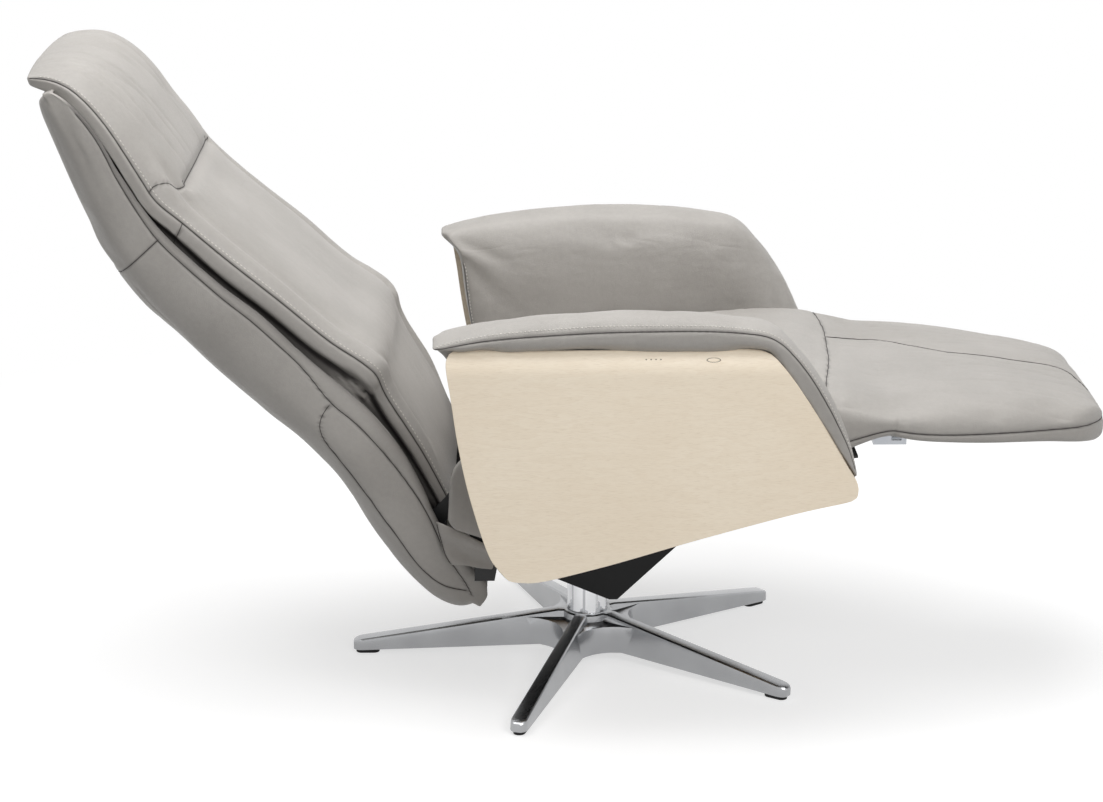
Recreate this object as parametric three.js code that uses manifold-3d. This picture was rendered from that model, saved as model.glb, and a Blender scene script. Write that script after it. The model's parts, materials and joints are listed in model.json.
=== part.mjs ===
// Star base swivel recliner, reclined, with its leg rest out. Millimetres, +Z up, +X towards the sitter's feet.
// The origin is on the floor, on the axis that the chair swivels about.
import * as THREE from "three";
import { mergeVertices } from "three/addons/utils/BufferGeometryUtils.js";
import Module from "manifold-3d";

const wasm = await Module();
wasm.setup();

// Driving dimensions
const clearance = 0.3; // between pieces that touch
const runningGap = 0.5; // between pieces that turn
const overrun = 20; // how far a cutting solid runs past what it cuts
const roundSides = 48; // facets of the column and the hub
const boltFacets = 8;
const bossFacets = 24;

const chair = {
  rear: -760, // rear reach of the reclined head
  bottom: 154, // lowest edge of the back shell
  runLength: 610, // from the head's rear to the shell's lower lip
  runHeight: 758, // from the shell's lower edge to the head's top
};

const star = {
  arms: 5,
  tipRadius: 350,
  rearAngle: 180,
  rootRadius: 44,
  rootTop: 68,
  rootBottom: 16,
  tipTop: 21,
  tipBottom: 6,
  rootTopHalf: 8,
  rootBottomHalf: 15,
  tipTopHalf: 10,
  tipBottomHalf: 13,
  edge: 2,
  wall: 4,
  webReach: 104,
  hubRadius: 37,
  hubBottom: 8,
  hollowShare: 0.85,
};

const glide = { length: 35, width: 17, thickness: 5.6, inset: 21, stemRadius: 4, stemHeight: 7 };

const column = { radius: 30, wall: 3, bottom: 11, top: 150, capFlange: 4, capSpigot: 12 };

const spindle = { radius: 15, bottom: 30, flangeRadius: 34, flangeThickness: 8 };

const bush = { length: 32, flangeThickness: 3 };

const thrustWasher = { thickness: 3 };

const swivelPlate = { length: 180, width: 126, thickness: 6, boltInset: 22 };

const frameSide = { inset: 36, thickness: 18, frontDrop: 47.5, rearDrop: 62, levelLength: 50 };

const tube = { radius: 12.5, frontX: 232, frontZ: 262, rearX: -112, rearZ: 262, wall: 2 };

const mechPlate = { y: 48, thickness: 5, foot: 24 };

const deck = { thickness: 3, frontZ: 376, rearZ: 330 };

const seat = {
  rearX: -176,
  frontX: 368,
  halfWidth: 262,
  rearHalfWidth: 214,
  crestZ: 468,
  frontZ: 449,
  frontBottomZ: 408,
  crown: 8,
  rampShare: 0.9,
};

const bullnose = { length: 41 };

const footrest = {
  pivotX: 413,
  pivotZ: 394,
  rearGap: 2.5,
  frontX: 748,
  rearSpread: 2,
  frontHalfWidth: 148,
  rearTop: 447,
  frontTop: 417,
  rearBottom: 405,
  frontBottom: 369,
  crown: 5,
  thinFromShare: 0.95,
  thinShare: 0.22,
  boardThickness: 10,
  boardMargin: 22,
  boardGapShare: 0.0072,
};

const legHinge = { y: 60, arm: 150, bossRadius: 9, barRadius: 6, armHeight: 12, armStartShare: 0.06 };

const lever = { thickness: 8, half: 7, pinReach: 14 };

const arm = {
  seatGap: 4,
  width: 102,
  panelThickness: 11,
  panelBend: 40,
  panelBendDegrees: 52,
  outlineX: -201,
  outlineZ: 239,
  outlineLength: 555,
  outlineHeight: 325,
  padRounding: 13,
};

const armRail = { fromX: -120, toX: 90, height: 42, drop: 4 };

// Insets are measured inwards from the seat's half width.
const back = {
  pivotX: -180,
  pivotZ: 325,
  shellInset: 16,
  shellTopInset: 30,
  shellWall: 13,
  leastHollowShare: 0.1,
  mouthShare: 0.4,
  cushionInset: 36,
  cushionLowInset: 48,
  crown: 12,
  panelThickness: 4,
};

const flap = { inset: 11.5, thickness: 3, sewnDepth: 10 };

const backFrame = { barInset: 66, barThickness: 6, barHalf: 11, tubeRadius: 8, armInset: 44, armHalf: 12 };

const backPlate = { edge: 14, tabDrop: 125 };

const seatCorner = { behind: 22, below: 62, length: 74, height: 88, inset: 8, rounding: 4 };

const head = { inset: 32, crown: 8, boardThickness: 4 };

const headHinge = {
  inset: 80,
  discRadius: 13,
  leafHalf: 8.1,
  pinRadius: 4,
  slotMargin: 3,
  lowLeafShare: 1.55,
};

const cover = { wall: 3, columnGap: 5, rearX: -145, length: 332, lowZ: 104, topZ: 242 };

const steel = { plate: 5, pin: 6, boltRadius: 5, boltHead: 9, boltHeadHeight: 5 };

const motor = { radius: 17, gearHalf: 20, gap: 2, boreWall: 10 };

const fork = { acrossHalf: 11, gapHalf: 5.5, slotHalf: 7.5, alongHalf: 15, height: 10.7, play: 1.4, web: 9 };

const legDrive = {
  z: 342,
  travel: 81,
  leverLength: 60,
  rodRadius: 8,
  tubeRadius: 15,
  bodyFront: 330,
  gearFrom: 150,
  gearTo: 200,
  gearRise: 12,
  tailGap: 4,
};

const backDrive = {
  z: 206,
  travel: 52,
  lugX: -150,
  lugZ: 208,
  lugHalf: 7.9,
  rodRadius: 8,
  tubeRadius: 15,
  bodyRear: -72,
  gearFrom: 45,
};

const controlBox = { fromX: -60, toX: 45, depth: 42, bottom: 272, top: 312 };

const batteryPack = { fromX: -80, toX: 70, depth: 56, bottom: 262, top: 318 };

// Widths that follow the seat
const frameSideY = seat.halfWidth - frameSide.inset;
const armInnerY = seat.halfWidth + arm.seatGap;
const armOuterY = armInnerY + arm.width;
const footRearHalf = seat.halfWidth + footrest.rearSpread;
const shellHalfWidth = seat.halfWidth - back.shellInset;
const shellTopHalfWidth = seat.halfWidth - back.shellTopInset;
const cushionHalfWidth = seat.halfWidth - back.cushionInset;
const cushionLowHalfWidth = seat.halfWidth - back.cushionLowInset;
const headHalfWidth = seat.halfWidth - head.inset;
const headHingeY = headHalfWidth - headHinge.inset;
const flapInnerY = seat.halfWidth - flap.inset;
const backBarY = seat.halfWidth - backFrame.barInset;
const backArmY = seat.halfWidth - backFrame.armInset;
const cornerInnerY = seat.halfWidth - seatCorner.inset;

// Materials
const finish = (color, roughness, metalness) =>
  new THREE.MeshStandardMaterial({ color, roughness, metalness });
const leather = finish(0xb9b5ae, 0.55, 0);
const veneer = finish(0xe0d4c2, 0.5, 0);
const aluminium = finish(0xc9cbcd, 0.25, 1);
const chrome = finish(0xdfe1e3, 0.08, 1);
const blackPlastic = finish(0x1c1c1d, 0.6, 0);
const blackSteel = finish(0x2a2a2c, 0.45, 0.8);
const zincSteel = finish(0xa7abb0, 0.35, 0.9);
const plywood = finish(0xc9ad84, 0.7, 0);
const bronze = finish(0xb08d57, 0.4, 0.9);

const recliner = new THREE.Group();

// Solids
const solidOf = (geometry) => {
  const bare = geometry.index ? geometry.toNonIndexed() : geometry.clone();
  bare.deleteAttribute("normal");
  bare.deleteAttribute("uv");
  const merged = mergeVertices(bare, 1e-4);
  return new wasm.Manifold(
    new wasm.Mesh({
      numProp: 3,
      vertProperties: new Float32Array(merged.attributes.position.array),
      triVerts: new Uint32Array(merged.index.array),
    }),
  );
};

const geometryOf = (solid) => {
  const data = solid.getMesh();
  const geometry = new THREE.BufferGeometry();
  geometry.setAttribute("position", new THREE.BufferAttribute(new Float32Array(data.vertProperties), 3));
  geometry.setIndex(new THREE.BufferAttribute(new Uint32Array(data.triVerts), 1));
  geometry.computeVertexNormals();
  return geometry;
};

const add = (name, shape, material) => {
  const geometry = shape.isBufferGeometry ? shape : geometryOf(shape);
  const mesh = new THREE.Mesh(geometry, material);
  mesh.name = name;
  recliner.add(mesh);
  return mesh;
};

const mirrored = (solid) => solid.mirror([0, 1, 0]);

const addPair = (name, leftSolid, material) => {
  add(name + "_left", leftSolid, material);
  add(name + "_right", mirrored(leftSolid), material);
};

const join = (...solids) => solids.reduce((whole, piece) => whole.add(piece));

// A skin over rings of the same number of points, with a flat fan at each end.
const loft = (rings) => {
  const count = rings[0].length;
  const positions = rings.flat(2);
  const faces = [];
  for (let ring = 0; ring + 1 < rings.length; ring++) {
    for (let i = 0; i < count; i++) {
      const next = (i + 1) % count;
      const low = ring * count;
      const high = low + count;
      faces.push(low + i, low + next, high + next);
      faces.push(low + i, high + next, high + i);
    }
  }
  const middle = (ring) =>
    [0, 1, 2].map((axis) => ring.reduce((sum, point) => sum + point[axis], 0) / ring.length);
  const firstCentre = positions.length / 3;
  positions.push(...middle(rings[0]), ...middle(rings[rings.length - 1]));
  const last = (rings.length - 1) * count;
  for (let i = 0; i < count; i++) {
    const next = (i + 1) % count;
    faces.push(firstCentre, next, i);
    faces.push(firstCentre + 1, last + i, last + next);
  }
  const geometry = new THREE.BufferGeometry();
  geometry.setAttribute("position", new THREE.BufferAttribute(new Float32Array(positions), 3));
  geometry.setIndex(faces);
  const solid = solidOf(geometry);
  if (solid.volume() > 0) return solid;
  geometry.setIndex(faces.reverse());
  return solidOf(geometry);
};

// A side outline in X and Z, drawn out along Y from one value to another.
const sidePlate = (outline, fromY, toY, bevel = 0) => {
  const shape = new THREE.Shape(outline.map(([x, z]) => new THREE.Vector2(x, z)));
  const geometry = new THREE.ExtrudeGeometry(shape, {
    depth: toY - fromY - 2 * bevel,
    bevelEnabled: bevel > 0,
    bevelThickness: bevel,
    bevelSize: bevel,
    bevelOffset: -bevel,
    bevelSegments: 3,
  });
  geometry.rotateX(Math.PI / 2);
  geometry.translate(0, toY - bevel, 0);
  return solidOf(geometry);
};

// An outline in X and Y, drawn up along Z.
const flatPlate = (shape, fromZ, toZ) => {
  const geometry = new THREE.ExtrudeGeometry(shape, {
    depth: toZ - fromZ,
    bevelEnabled: false,
    curveSegments: 8,
  });
  geometry.translate(0, 0, fromZ);
  return solidOf(geometry);
};

// An outline in Y and Z, drawn along X.
const crossPlate = (outline, fromX, toX) => {
  const shape = new THREE.Shape(outline.map(([y, z]) => new THREE.Vector2(y, z)));
  const geometry = new THREE.ExtrudeGeometry(shape, { depth: toX - fromX, bevelEnabled: false });
  geometry.rotateX(Math.PI / 2);
  geometry.rotateZ(Math.PI / 2);
  geometry.translate(fromX, 0, 0);
  return solidOf(geometry);
};

const box = (fromX, toX, fromY, toY, fromZ, toZ) => {
  const geometry = new THREE.BoxGeometry(toX - fromX, toY - fromY, toZ - fromZ);
  geometry.translate((fromX + toX) / 2, (fromY + toY) / 2, (fromZ + toZ) / 2);
  return solidOf(geometry);
};

// A round bar along one axis, from one value to another.
const rod = (axis, radius, from, to, centre, sides = 16) => {
  const geometry = new THREE.CylinderGeometry(radius, radius, to - from, sides);
  if (axis === "x") geometry.rotateZ(Math.PI / 2);
  if (axis === "z") geometry.rotateX(Math.PI / 2);
  const middle = (from + to) / 2;
  const [a, b] = centre;
  if (axis === "x") geometry.translate(middle, a, b);
  if (axis === "y") geometry.translate(a, middle, b);
  if (axis === "z") geometry.translate(a, b, middle);
  return solidOf(geometry);
};

// A round piece about Z, from a profile of radius and height that ends on the axis or closes on itself.
const turned = (profile, sides = 32) => {
  const onAxis = profile[0][0] === 0;
  const closed = onAxis ? profile : [...profile, profile[0]];
  const points = closed.map(([r, z]) => new THREE.Vector2(r, z));
  const geometry = new THREE.LatheGeometry(points, sides);
  geometry.rotateX(Math.PI / 2);
  const solid = solidOf(geometry);
  if (solid.volume() > 0) return solid;
  const flipped = new THREE.LatheGeometry(points.reverse(), sides);
  flipped.rotateX(Math.PI / 2);
  return solidOf(flipped);
};

const ring = (inner, outer, from, to, sides = 32) =>
  turned(
    [
      [inner, from],
      [outer, from],
      [outer, to],
      [inner, to],
    ],
    sides,
  );

const placed = (shares, x, z, length, height) =>
  shares.map(([u, v]) => [x + u * length, z + v * height]);

const onBack = (shares) => placed(shares, chair.rear, chair.bottom, chair.runLength, chair.runHeight);

const onArm = (shares) =>
  placed(shares, arm.outlineX, arm.outlineZ, arm.outlineLength, arm.outlineHeight);

// A closed outline moved outwards by a distance.
const grown = (outline, distance) =>
  outline.map(([x, z], i) => {
    const before = outline[(i + outline.length - 1) % outline.length];
    const after = outline[(i + 1) % outline.length];
    const along = new THREE.Vector2(after[0] - before[0], after[1] - before[1]).normalize();
    const turn = Math.sign(THREE.ShapeUtils.area(outline.map(([a, b]) => new THREE.Vector2(a, b))));
    return [x + along.y * distance * turn, z - along.x * distance * turn];
  });

// Star base: five tapered arms, hollow underneath, that meet in a webbed hub
const armAngle = (index) => THREE.MathUtils.degToRad(star.rearAngle + (360 / star.arms) * index);

const armRing = (radius, topHalf, bottomHalf, top, bottom) => [
  [radius, -bottomHalf, bottom],
  [radius, bottomHalf, bottom],
  [radius, topHalf + star.edge, top - star.edge],
  [radius, topHalf, top],
  [radius, -topHalf, top],
  [radius, -topHalf - star.edge, top - star.edge],
];

const alongArm = (share, root, tip) => root + share * (tip - root);

const armStation = (share, narrowing = 1) =>
  armRing(
    alongArm(share, star.rootRadius, star.tipRadius),
    alongArm(share, star.rootTopHalf, star.tipTopHalf) * narrowing,
    alongArm(share, star.rootBottomHalf, star.tipBottomHalf) * narrowing,
    alongArm(share, star.rootTop, star.tipTop) - star.edge * 2 * (1 - narrowing),
    alongArm(share, star.rootBottom, star.tipBottom),
  );

const tipShares = [
  [0.955, 1],
  [0.975, 0.93],
  [0.99, 0.74],
  [1, 0.4],
];

const armBody = loft([
  armRing(0, star.rootTopHalf, star.rootBottomHalf, star.rootTop, star.rootBottom),
  armStation(0),
  armStation(0.5),
  ...tipShares.map(([share, narrowing]) => armStation(share, narrowing)),
]);

const hollowRing = (share) => {
  const topHalf = alongArm(share, star.rootTopHalf, star.tipTopHalf) - star.wall / 2;
  const bottomHalf = alongArm(share, star.rootBottomHalf, star.tipBottomHalf) - star.wall;
  const top = alongArm(share, star.rootTop, star.tipTop) - star.wall;
  return armRing(alongArm(share, star.rootRadius, star.tipRadius), topHalf, bottomHalf, top, 0);
};
const armHollow = loft([hollowRing(0), hollowRing(star.hollowShare)]);

const glideRadius = star.tipRadius - glide.inset;
const stemSocket = rod(
  "z",
  glide.stemRadius + clearance,
  0,
  glide.thickness + glide.stemHeight + clearance,
  [glideRadius, 0],
);

const aroundStar = (solid) =>
  Array.from({ length: star.arms }, (_, i) => solid.rotate([0, 0, THREE.MathUtils.radToDeg(armAngle(i))]));

const webShape = (reach, half, valley) => {
  const shape = new THREE.Shape();
  const corner = (angle, side) =>
    new THREE.Vector2(reach, side * half).rotateAround(new THREE.Vector2(), angle);
  const start = corner(armAngle(0), -1);
  shape.moveTo(start.x, start.y);
  for (let i = 0; i < star.arms; i++) {
    const end = corner(armAngle(i), 1);
    shape.lineTo(end.x, end.y);
    const middle = armAngle(i) + Math.PI / star.arms;
    const next = corner(armAngle(i + 1), -1);
    shape.quadraticCurveTo(valley * Math.cos(middle), valley * Math.sin(middle), next.x, next.y);
  }
  return shape;
};

const webTop = alongArm(
  (star.webReach - star.rootRadius) / (star.tipRadius - star.rootRadius),
  star.rootTop,
  star.tipTop,
) - star.edge;
const webs = flatPlate(
  webShape(star.webReach, star.rootTopHalf, star.hubRadius - star.wall),
  star.rootBottom,
  webTop,
);
const webHollow = flatPlate(
  webShape(star.webReach - star.wall, star.rootTopHalf - star.wall, star.hubRadius - 3 * star.wall),
  0,
  webTop - star.wall,
);
const hubCore = turned(
  [
    [column.radius + clearance, star.hubBottom],
    [star.hubRadius, star.hubBottom],
    [star.hubRadius, star.rootTop - star.edge],
    [star.hubRadius - star.edge, star.rootTop],
    [column.radius + clearance, star.rootTop],
  ],
  roundSides,
);
const hubBore = rod("z", column.radius + clearance, 0, star.rootTop + overrun, [0, 0], roundSides);

let starBase = join(webs, ...aroundStar(armBody));
starBase = starBase.subtract(join(webHollow, ...aroundStar(armHollow)));
starBase = starBase.subtract(hubBore).add(hubCore);
starBase = starBase.subtract(join(...aroundStar(stemSocket)));
add("star_base", starBase, aluminium);

// Glides: a pad with a stem that pushes up into each arm's tip
const glideEnd = glide.width / 2;
const glideShape = new THREE.Shape();
const glideReach = glide.length / 2 - glideEnd;
glideShape.absarc(glideReach, 0, glideEnd, -Math.PI / 2, Math.PI / 2, false);
glideShape.absarc(-glideReach, 0, glideEnd, Math.PI / 2, (3 * Math.PI) / 2, false);
const glidePad = flatPlate(glideShape, 0, glide.thickness).translate([glideRadius, 0, 0]);
const glideStem = rod("z", glide.stemRadius, 0, glide.thickness + glide.stemHeight, [glideRadius, 0]);
aroundStar(join(glidePad, glideStem)).forEach((solid, i) => {
  add("glide_" + (i + 1), solid, blackPlastic);
});

// Column and swivel bearing
const columnInner = column.radius - column.wall;
add("column_tube", ring(columnInner, column.radius, column.bottom, column.top, roundSides), chrome);

const capTop = column.bottom - clearance;
add(
  "column_cap",
  turned([
    [0, capTop - column.capFlange],
    [column.radius, capTop - column.capFlange],
    [column.radius, capTop],
    [columnInner - clearance, capTop],
    [columnInner - clearance, capTop + column.capSpigot],
    [0, capTop + column.capSpigot],
  ]),
  blackPlastic,
);

const bushOuter = columnInner - clearance;
const bushInner = spindle.radius + runningGap;
const lowerBushBottom = spindle.bottom + clearance;
add(
  "lower_bush",
  ring(bushInner, bushOuter, lowerBushBottom, lowerBushBottom + bush.length),
  bronze,
);
const flangeBottom = column.top + clearance;
add(
  "upper_bush",
  turned([
    [bushInner, column.top - bush.length],
    [bushOuter, column.top - bush.length],
    [bushOuter, flangeBottom],
    [column.radius, flangeBottom],
    [column.radius, flangeBottom + bush.flangeThickness],
    [bushInner, flangeBottom + bush.flangeThickness],
  ]),
  bronze,
);
const washerBottom = flangeBottom + bush.flangeThickness + clearance;
const washerTop = washerBottom + thrustWasher.thickness;
add("thrust_washer", ring(bushInner, column.radius, washerBottom, washerTop), zincSteel);

const spindleFlangeBottom = washerTop + clearance;
const spindleTop = spindleFlangeBottom + spindle.flangeThickness;
add(
  "swivel_spindle",
  turned([
    [0, spindle.bottom],
    [spindle.radius, spindle.bottom],
    [spindle.radius, spindleFlangeBottom],
    [spindle.flangeRadius, spindleFlangeBottom],
    [spindle.flangeRadius, spindleTop],
    [0, spindleTop],
  ]),
  zincSteel,
);

// Swivel plate, and the two side plates of the mechanism that stand on it
const plateBottom = spindleTop + clearance;
const plateTop = plateBottom + swivelPlate.thickness;
const plateHalfLength = swivelPlate.length / 2;
const plateHalfWidth = swivelPlate.width / 2;
const plateBoltX = plateHalfLength - swivelPlate.boltInset;
const plateBoltY = mechPlate.y - mechPlate.foot / 2;
let plate = box(-plateHalfLength, plateHalfLength, -plateHalfWidth, plateHalfWidth, plateBottom, plateTop);
const boltSides = [-1, 1];
for (const sideX of boltSides) {
  for (const sideY of boltSides) {
    const at = [sideX * plateBoltX, sideY * plateBoltY];
    plate = plate.subtract(rod("z", steel.boltRadius + clearance, plateBottom - overrun, plateTop + overrun, at));
  }
}
add("swivel_plate", plate, blackSteel);

const plateFootZ = plateTop + clearance;
const mechOuterY = mechPlate.y + mechPlate.thickness;
const deckAt = (x) => {
  const share = (x - seat.rearX) / (seat.frontX - seat.rearX);
  return deck.rearZ + share * (deck.frontZ - deck.rearZ);
};
const mechOutline = [
  [-plateHalfLength, plateFootZ],
  [plateHalfLength, plateFootZ],
  [tube.frontX - 5 * tube.radius, tube.frontZ - 1.2 * tube.radius],
  [tube.frontX + 2 * tube.radius, tube.frontZ - tube.radius],
  [tube.frontX + 2 * tube.radius, tube.frontZ + 2 * tube.radius],
  [tube.frontX - 2 * tube.radius, tube.frontZ + 2 * tube.radius],
  [plateHalfLength, tube.frontZ - tube.radius],
  [-plateHalfLength / 2, tube.rearZ - tube.radius],
  [tube.rearX + 2 * tube.radius, tube.rearZ + 2 * tube.radius],
  [tube.rearX - 2 * tube.radius, tube.rearZ + 2 * tube.radius],
  [tube.rearX - 2 * tube.radius, tube.rearZ - tube.radius],
];
const mechFoot = box(
  -plateHalfLength,
  plateHalfLength,
  mechPlate.y - mechPlate.foot,
  mechPlate.y,
  plateFootZ,
  plateFootZ + mechPlate.thickness,
);
const tubeHole = (x, z, radius) => rod("y", radius, -armOuterY, armOuterY, [x, z]);
const tubeHoles = join(
  tubeHole(tube.frontX, tube.frontZ, tube.radius + clearance),
  tubeHole(tube.rearX, tube.rearZ, tube.radius + clearance),
);
const footHoles = join(
  ...boltSides.map((side) =>
    rod("z", steel.boltRadius + clearance, plateFootZ - overrun, plateFootZ + overrun, [
      side * plateBoltX,
      plateBoltY,
    ]),
  ),
);
const mechLeft = sidePlate(mechOutline, mechPlate.y, mechOuterY)
  .add(mechFoot)
  .subtract(tubeHoles)
  .subtract(footHoles);
addPair("mechanism_plate", mechLeft, blackSteel);

const boltTop = plateFootZ + mechPlate.thickness + clearance;
const plateBolt = turned(
  [
    [0, plateBottom - steel.boltHeadHeight],
    [steel.boltRadius, plateBottom - steel.boltHeadHeight],
    [steel.boltRadius, boltTop],
    [steel.boltHead, boltTop],
    [steel.boltHead, boltTop + steel.boltHeadHeight],
    [0, boltTop + steel.boltHeadHeight],
  ],
  boltFacets,
);
const boltCorners = [
  ["front_left", 1, 1],
  ["front_right", 1, -1],
  ["rear_left", -1, 1],
  ["rear_right", -1, -1],
];
for (const [corner, sideX, sideY] of boltCorners) {
  add(
    "swivel_bolt_" + corner,
    plateBolt.translate([sideX * plateBoltX, sideY * plateBoltY, 0]),
    zincSteel,
  );
}

// Cross tubes, side frames and spring deck
const tubeEnd = frameSideY + frameSide.thickness;
const frontTubeEnd = legHinge.y + steel.plate + 2 * tube.wall;
const crossTube = (x, z, end) =>
  rod("y", tube.radius, -end, end, [x, z]).subtract(
    rod("y", tube.radius - tube.wall, -end - overrun, end + overrun, [x, z]),
  );
add("front_cross_tube", crossTube(tube.frontX, tube.frontZ, frontTubeEnd), blackSteel);
add("rear_cross_tube", crossTube(tube.rearX, tube.rearZ, tubeEnd), blackSteel);

const deckUnder = (x) => deckAt(x) - clearance;
const frameRearX = seat.rearX + frameSide.thickness;
const frameFrontX = seat.frontX - bullnose.length;
const frameOutline = [
  [frameRearX, deckUnder(frameRearX) - frameSide.rearDrop],
  [tube.rearX, tube.rearZ - 2 * tube.radius],
  [tube.rearX + frameSide.levelLength, tube.rearZ - 2 * tube.radius],
  [frameFrontX, deckUnder(frameFrontX) - frameSide.frontDrop],
  [frameFrontX, deckUnder(frameFrontX)],
  [frameRearX, deckUnder(frameRearX)],
];
addPair(
  "frame_side",
  sidePlate(frameOutline, frameSideY, tubeEnd).subtract(tubeHoles),
  plywood,
);

const deckOutline = [
  [frameRearX, deckAt(frameRearX)],
  [seat.frontX, deckAt(seat.frontX)],
  [seat.frontX, deckAt(seat.frontX) + deck.thickness],
  [frameRearX, deckAt(frameRearX) + deck.thickness],
];
add("spring_deck", sidePlate(deckOutline, -tubeEnd, tubeEnd), blackSteel);

// Arms: a bent veneer panel outside, a padded arm with its inner face inside, and the rail that carries both
const panelOutlineShares = [
  [0, 0.96], [0.011, 0.8], [0.029, 0.585], [0.056, 0.366], [0.105, 0.105], [0.128, 0.046],
  [0.164, 0], [0.214, 0], [0.373, 0.065], [0.616, 0.188], [0.859, 0.302], [0.98, 0.348],
  [1, 0.378], [0.998, 0.425], [0.978, 0.489], [0.903, 0.705], [0.827, 0.898], [0.789, 0.972],
  [0.766, 0.997], [0.02, 0.997],
];
const padOutlineShares = [
  [-0.031, 0.988], [-0.002, 1.071], [0.132, 1.111], [0.276, 1.123], [0.468, 1.129], [0.613, 1.123],
  [0.705, 1.108], [0.795, 1.062], [0.852, 0.982], [0.899, 0.877], [0.935, 0.748], [0.971, 0.588],
  [0.993, 0.458], [0.975, 0.403], [0.903, 0.326], [0.47, 0.243], [0.146, 0.188], [0.052, 0.268],
  [0.02, 0.557], [-0.009, 0.797],
];
const panelOutline = onArm(panelOutlineShares);
const padOutline = onArm(padOutlineShares);
const panelTopZ = Math.max(...panelOutline.map(([, z]) => z));
const bendSteps = 6;
const bendAngle = THREE.MathUtils.degToRad(arm.panelBendDegrees);
const bendStartZ = panelTopZ - arm.panelBend * Math.sin(bendAngle) + clearance;
const bendLine = (radius) =>
  Array.from({ length: bendSteps + 1 }, (_, i) => {
    const angle = (bendAngle * i) / bendSteps;
    const centreY = armOuterY - arm.panelBend;
    return [centreY + radius * Math.cos(angle), bendStartZ + radius * Math.sin(angle)];
  });
const panelBottomZ = arm.outlineZ - overrun;
const panelInnerRadius = arm.panelBend - arm.panelThickness;
const bentSheet = crossPlate(
  [
    [armOuterY - arm.panelThickness, panelBottomZ],
    [armOuterY, panelBottomZ],
    ...bendLine(arm.panelBend),
    ...bendLine(panelInnerRadius).reverse(),
  ],
  2 * arm.outlineX,
  2 * arm.outlineLength,
);
const armPanel = bentSheet.intersect(sidePlate(panelOutline, 0, armOuterY + overrun));
addPair("arm_panel", armPanel, veneer);

// The pad wraps the panel's top and front edges, so the panel's place is cut out of it.
const panelRoom = crossPlate(
  [
    ...bendLine(panelInnerRadius - clearance).reverse(),
    [armOuterY - arm.panelThickness - clearance, panelBottomZ],
    [armOuterY + overrun, panelBottomZ],
    [armOuterY + overrun, panelTopZ + overrun],
    [armOuterY - arm.panelBend, panelTopZ + overrun],
  ],
  2 * arm.outlineX,
  2 * arm.outlineLength,
).intersect(sidePlate(grown(panelOutline, 2 * clearance), 0, armOuterY + 2 * overrun));
const railTop = deck.rearZ - armRail.drop;
const railRoom = box(
  armRail.fromX - clearance,
  armRail.toX + clearance,
  0,
  armOuterY,
  railTop - armRail.height - overrun,
  railTop + clearance,
);
const armPad = sidePlate(padOutline, armInnerY, armOuterY - clearance, arm.padRounding)
  .subtract(panelRoom)
  .subtract(railRoom);
addPair("arm_pad", armPad, leather);
addPair(
  "arm_rail",
  box(
    armRail.fromX,
    armRail.toX,
    tubeEnd + clearance,
    armOuterY - arm.panelThickness - clearance,
    railTop - armRail.height,
    railTop,
  ),
  plywood,
);

// Seat cushion: crowned, drawn in at the rear, carried over the front edge by a bullnose pad
const cushionSides = 20;
const cushionPowerShare = 0.3;
const superRound = (value, power) => Math.sign(value) * Math.abs(value) ** power;
const seatRing = (x, halfWidth, bottom, top, crown) =>
  Array.from({ length: cushionSides }, (_, i) => {
    const angle = (2 * Math.PI * i) / cushionSides;
    const y = halfWidth * superRound(Math.cos(angle), cushionPowerShare);
    const rise = superRound(Math.sin(angle), cushionPowerShare);
    const lift = rise > 0 ? crown * (1 - (y / halfWidth) ** 2) : 0;
    return [x, y, bottom + ((1 + rise) / 2) * (top - bottom) + lift];
  });
// Each row holds shares of the length, of the widening from the rear, of the rise above the front edge, and of
// the crown.
const seatLength = seat.frontX - seat.rearX;
const seatRise = seat.crestZ - seat.frontZ;
const seatRowShares = [
  [0, -0.1, -2.6, 0],
  [0.03, 0, -2.1, 0.6],
  [0.16, 0.05, -1.3, 1],
  [0.24, 0.8, -1, 1],
  [0.4, 0.97, -0.2, 1],
  [0.62, 1, 0.55, 1],
  [0.83, 1, 1, 0.8],
  [0.93, 1, 0.8, 0.6],
  [1, 0.99, 0, 0.2],
];
const cushionLift = deck.thickness + clearance;
const seatBottomAt = (share) => {
  const x = seat.rearX + share * seatLength;
  const ramp = Math.max(0, (share - seat.rampShare) / (1 - seat.rampShare));
  const low = deckAt(x) + cushionLift;
  return low + ramp * (seat.frontBottomZ - low);
};
const seatCushion = loft(
  seatRowShares.map(([along, wide, high, crownShare]) =>
    seatRing(
      seat.rearX + along * seatLength,
      seat.rearHalfWidth + wide * (seat.halfWidth - seat.rearHalfWidth),
      seatBottomAt(along),
      seat.frontZ + high * seatRise,
      crownShare * seat.crown,
    ),
  ),
);
add("seat_cushion", seatCushion, leather);

const noseFrom = seat.frontX + clearance;
const noseTo = seat.frontX + bullnose.length;
const noseRowShares = [
  [0, 1, 0.2],
  [0.5, 1, 0.2],
  [0.92, 0.998, 0.1],
  [1, 0.99, 0],
];
add(
  "seat_bullnose",
  loft(
    noseRowShares.map(([along, wide, crownShare]) =>
      seatRing(
        noseFrom + along * (noseTo - noseFrom),
        wide * seat.halfWidth,
        seat.frontBottomZ,
        seat.frontZ - along * clearance,
        crownShare * seat.crown,
      ),
    ),
  ),
  leather,
);

// Leg rest: a board and a tapered pad that swing down about a hinge under the seat's front edge
const footLength = footrest.frontX - footrest.pivotX;
const footAt = (share, rear, front) => rear + share * (front - rear);
const footX = (share) => footrest.pivotX + footrest.rearGap + share * (footLength - footrest.rearGap);
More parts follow.
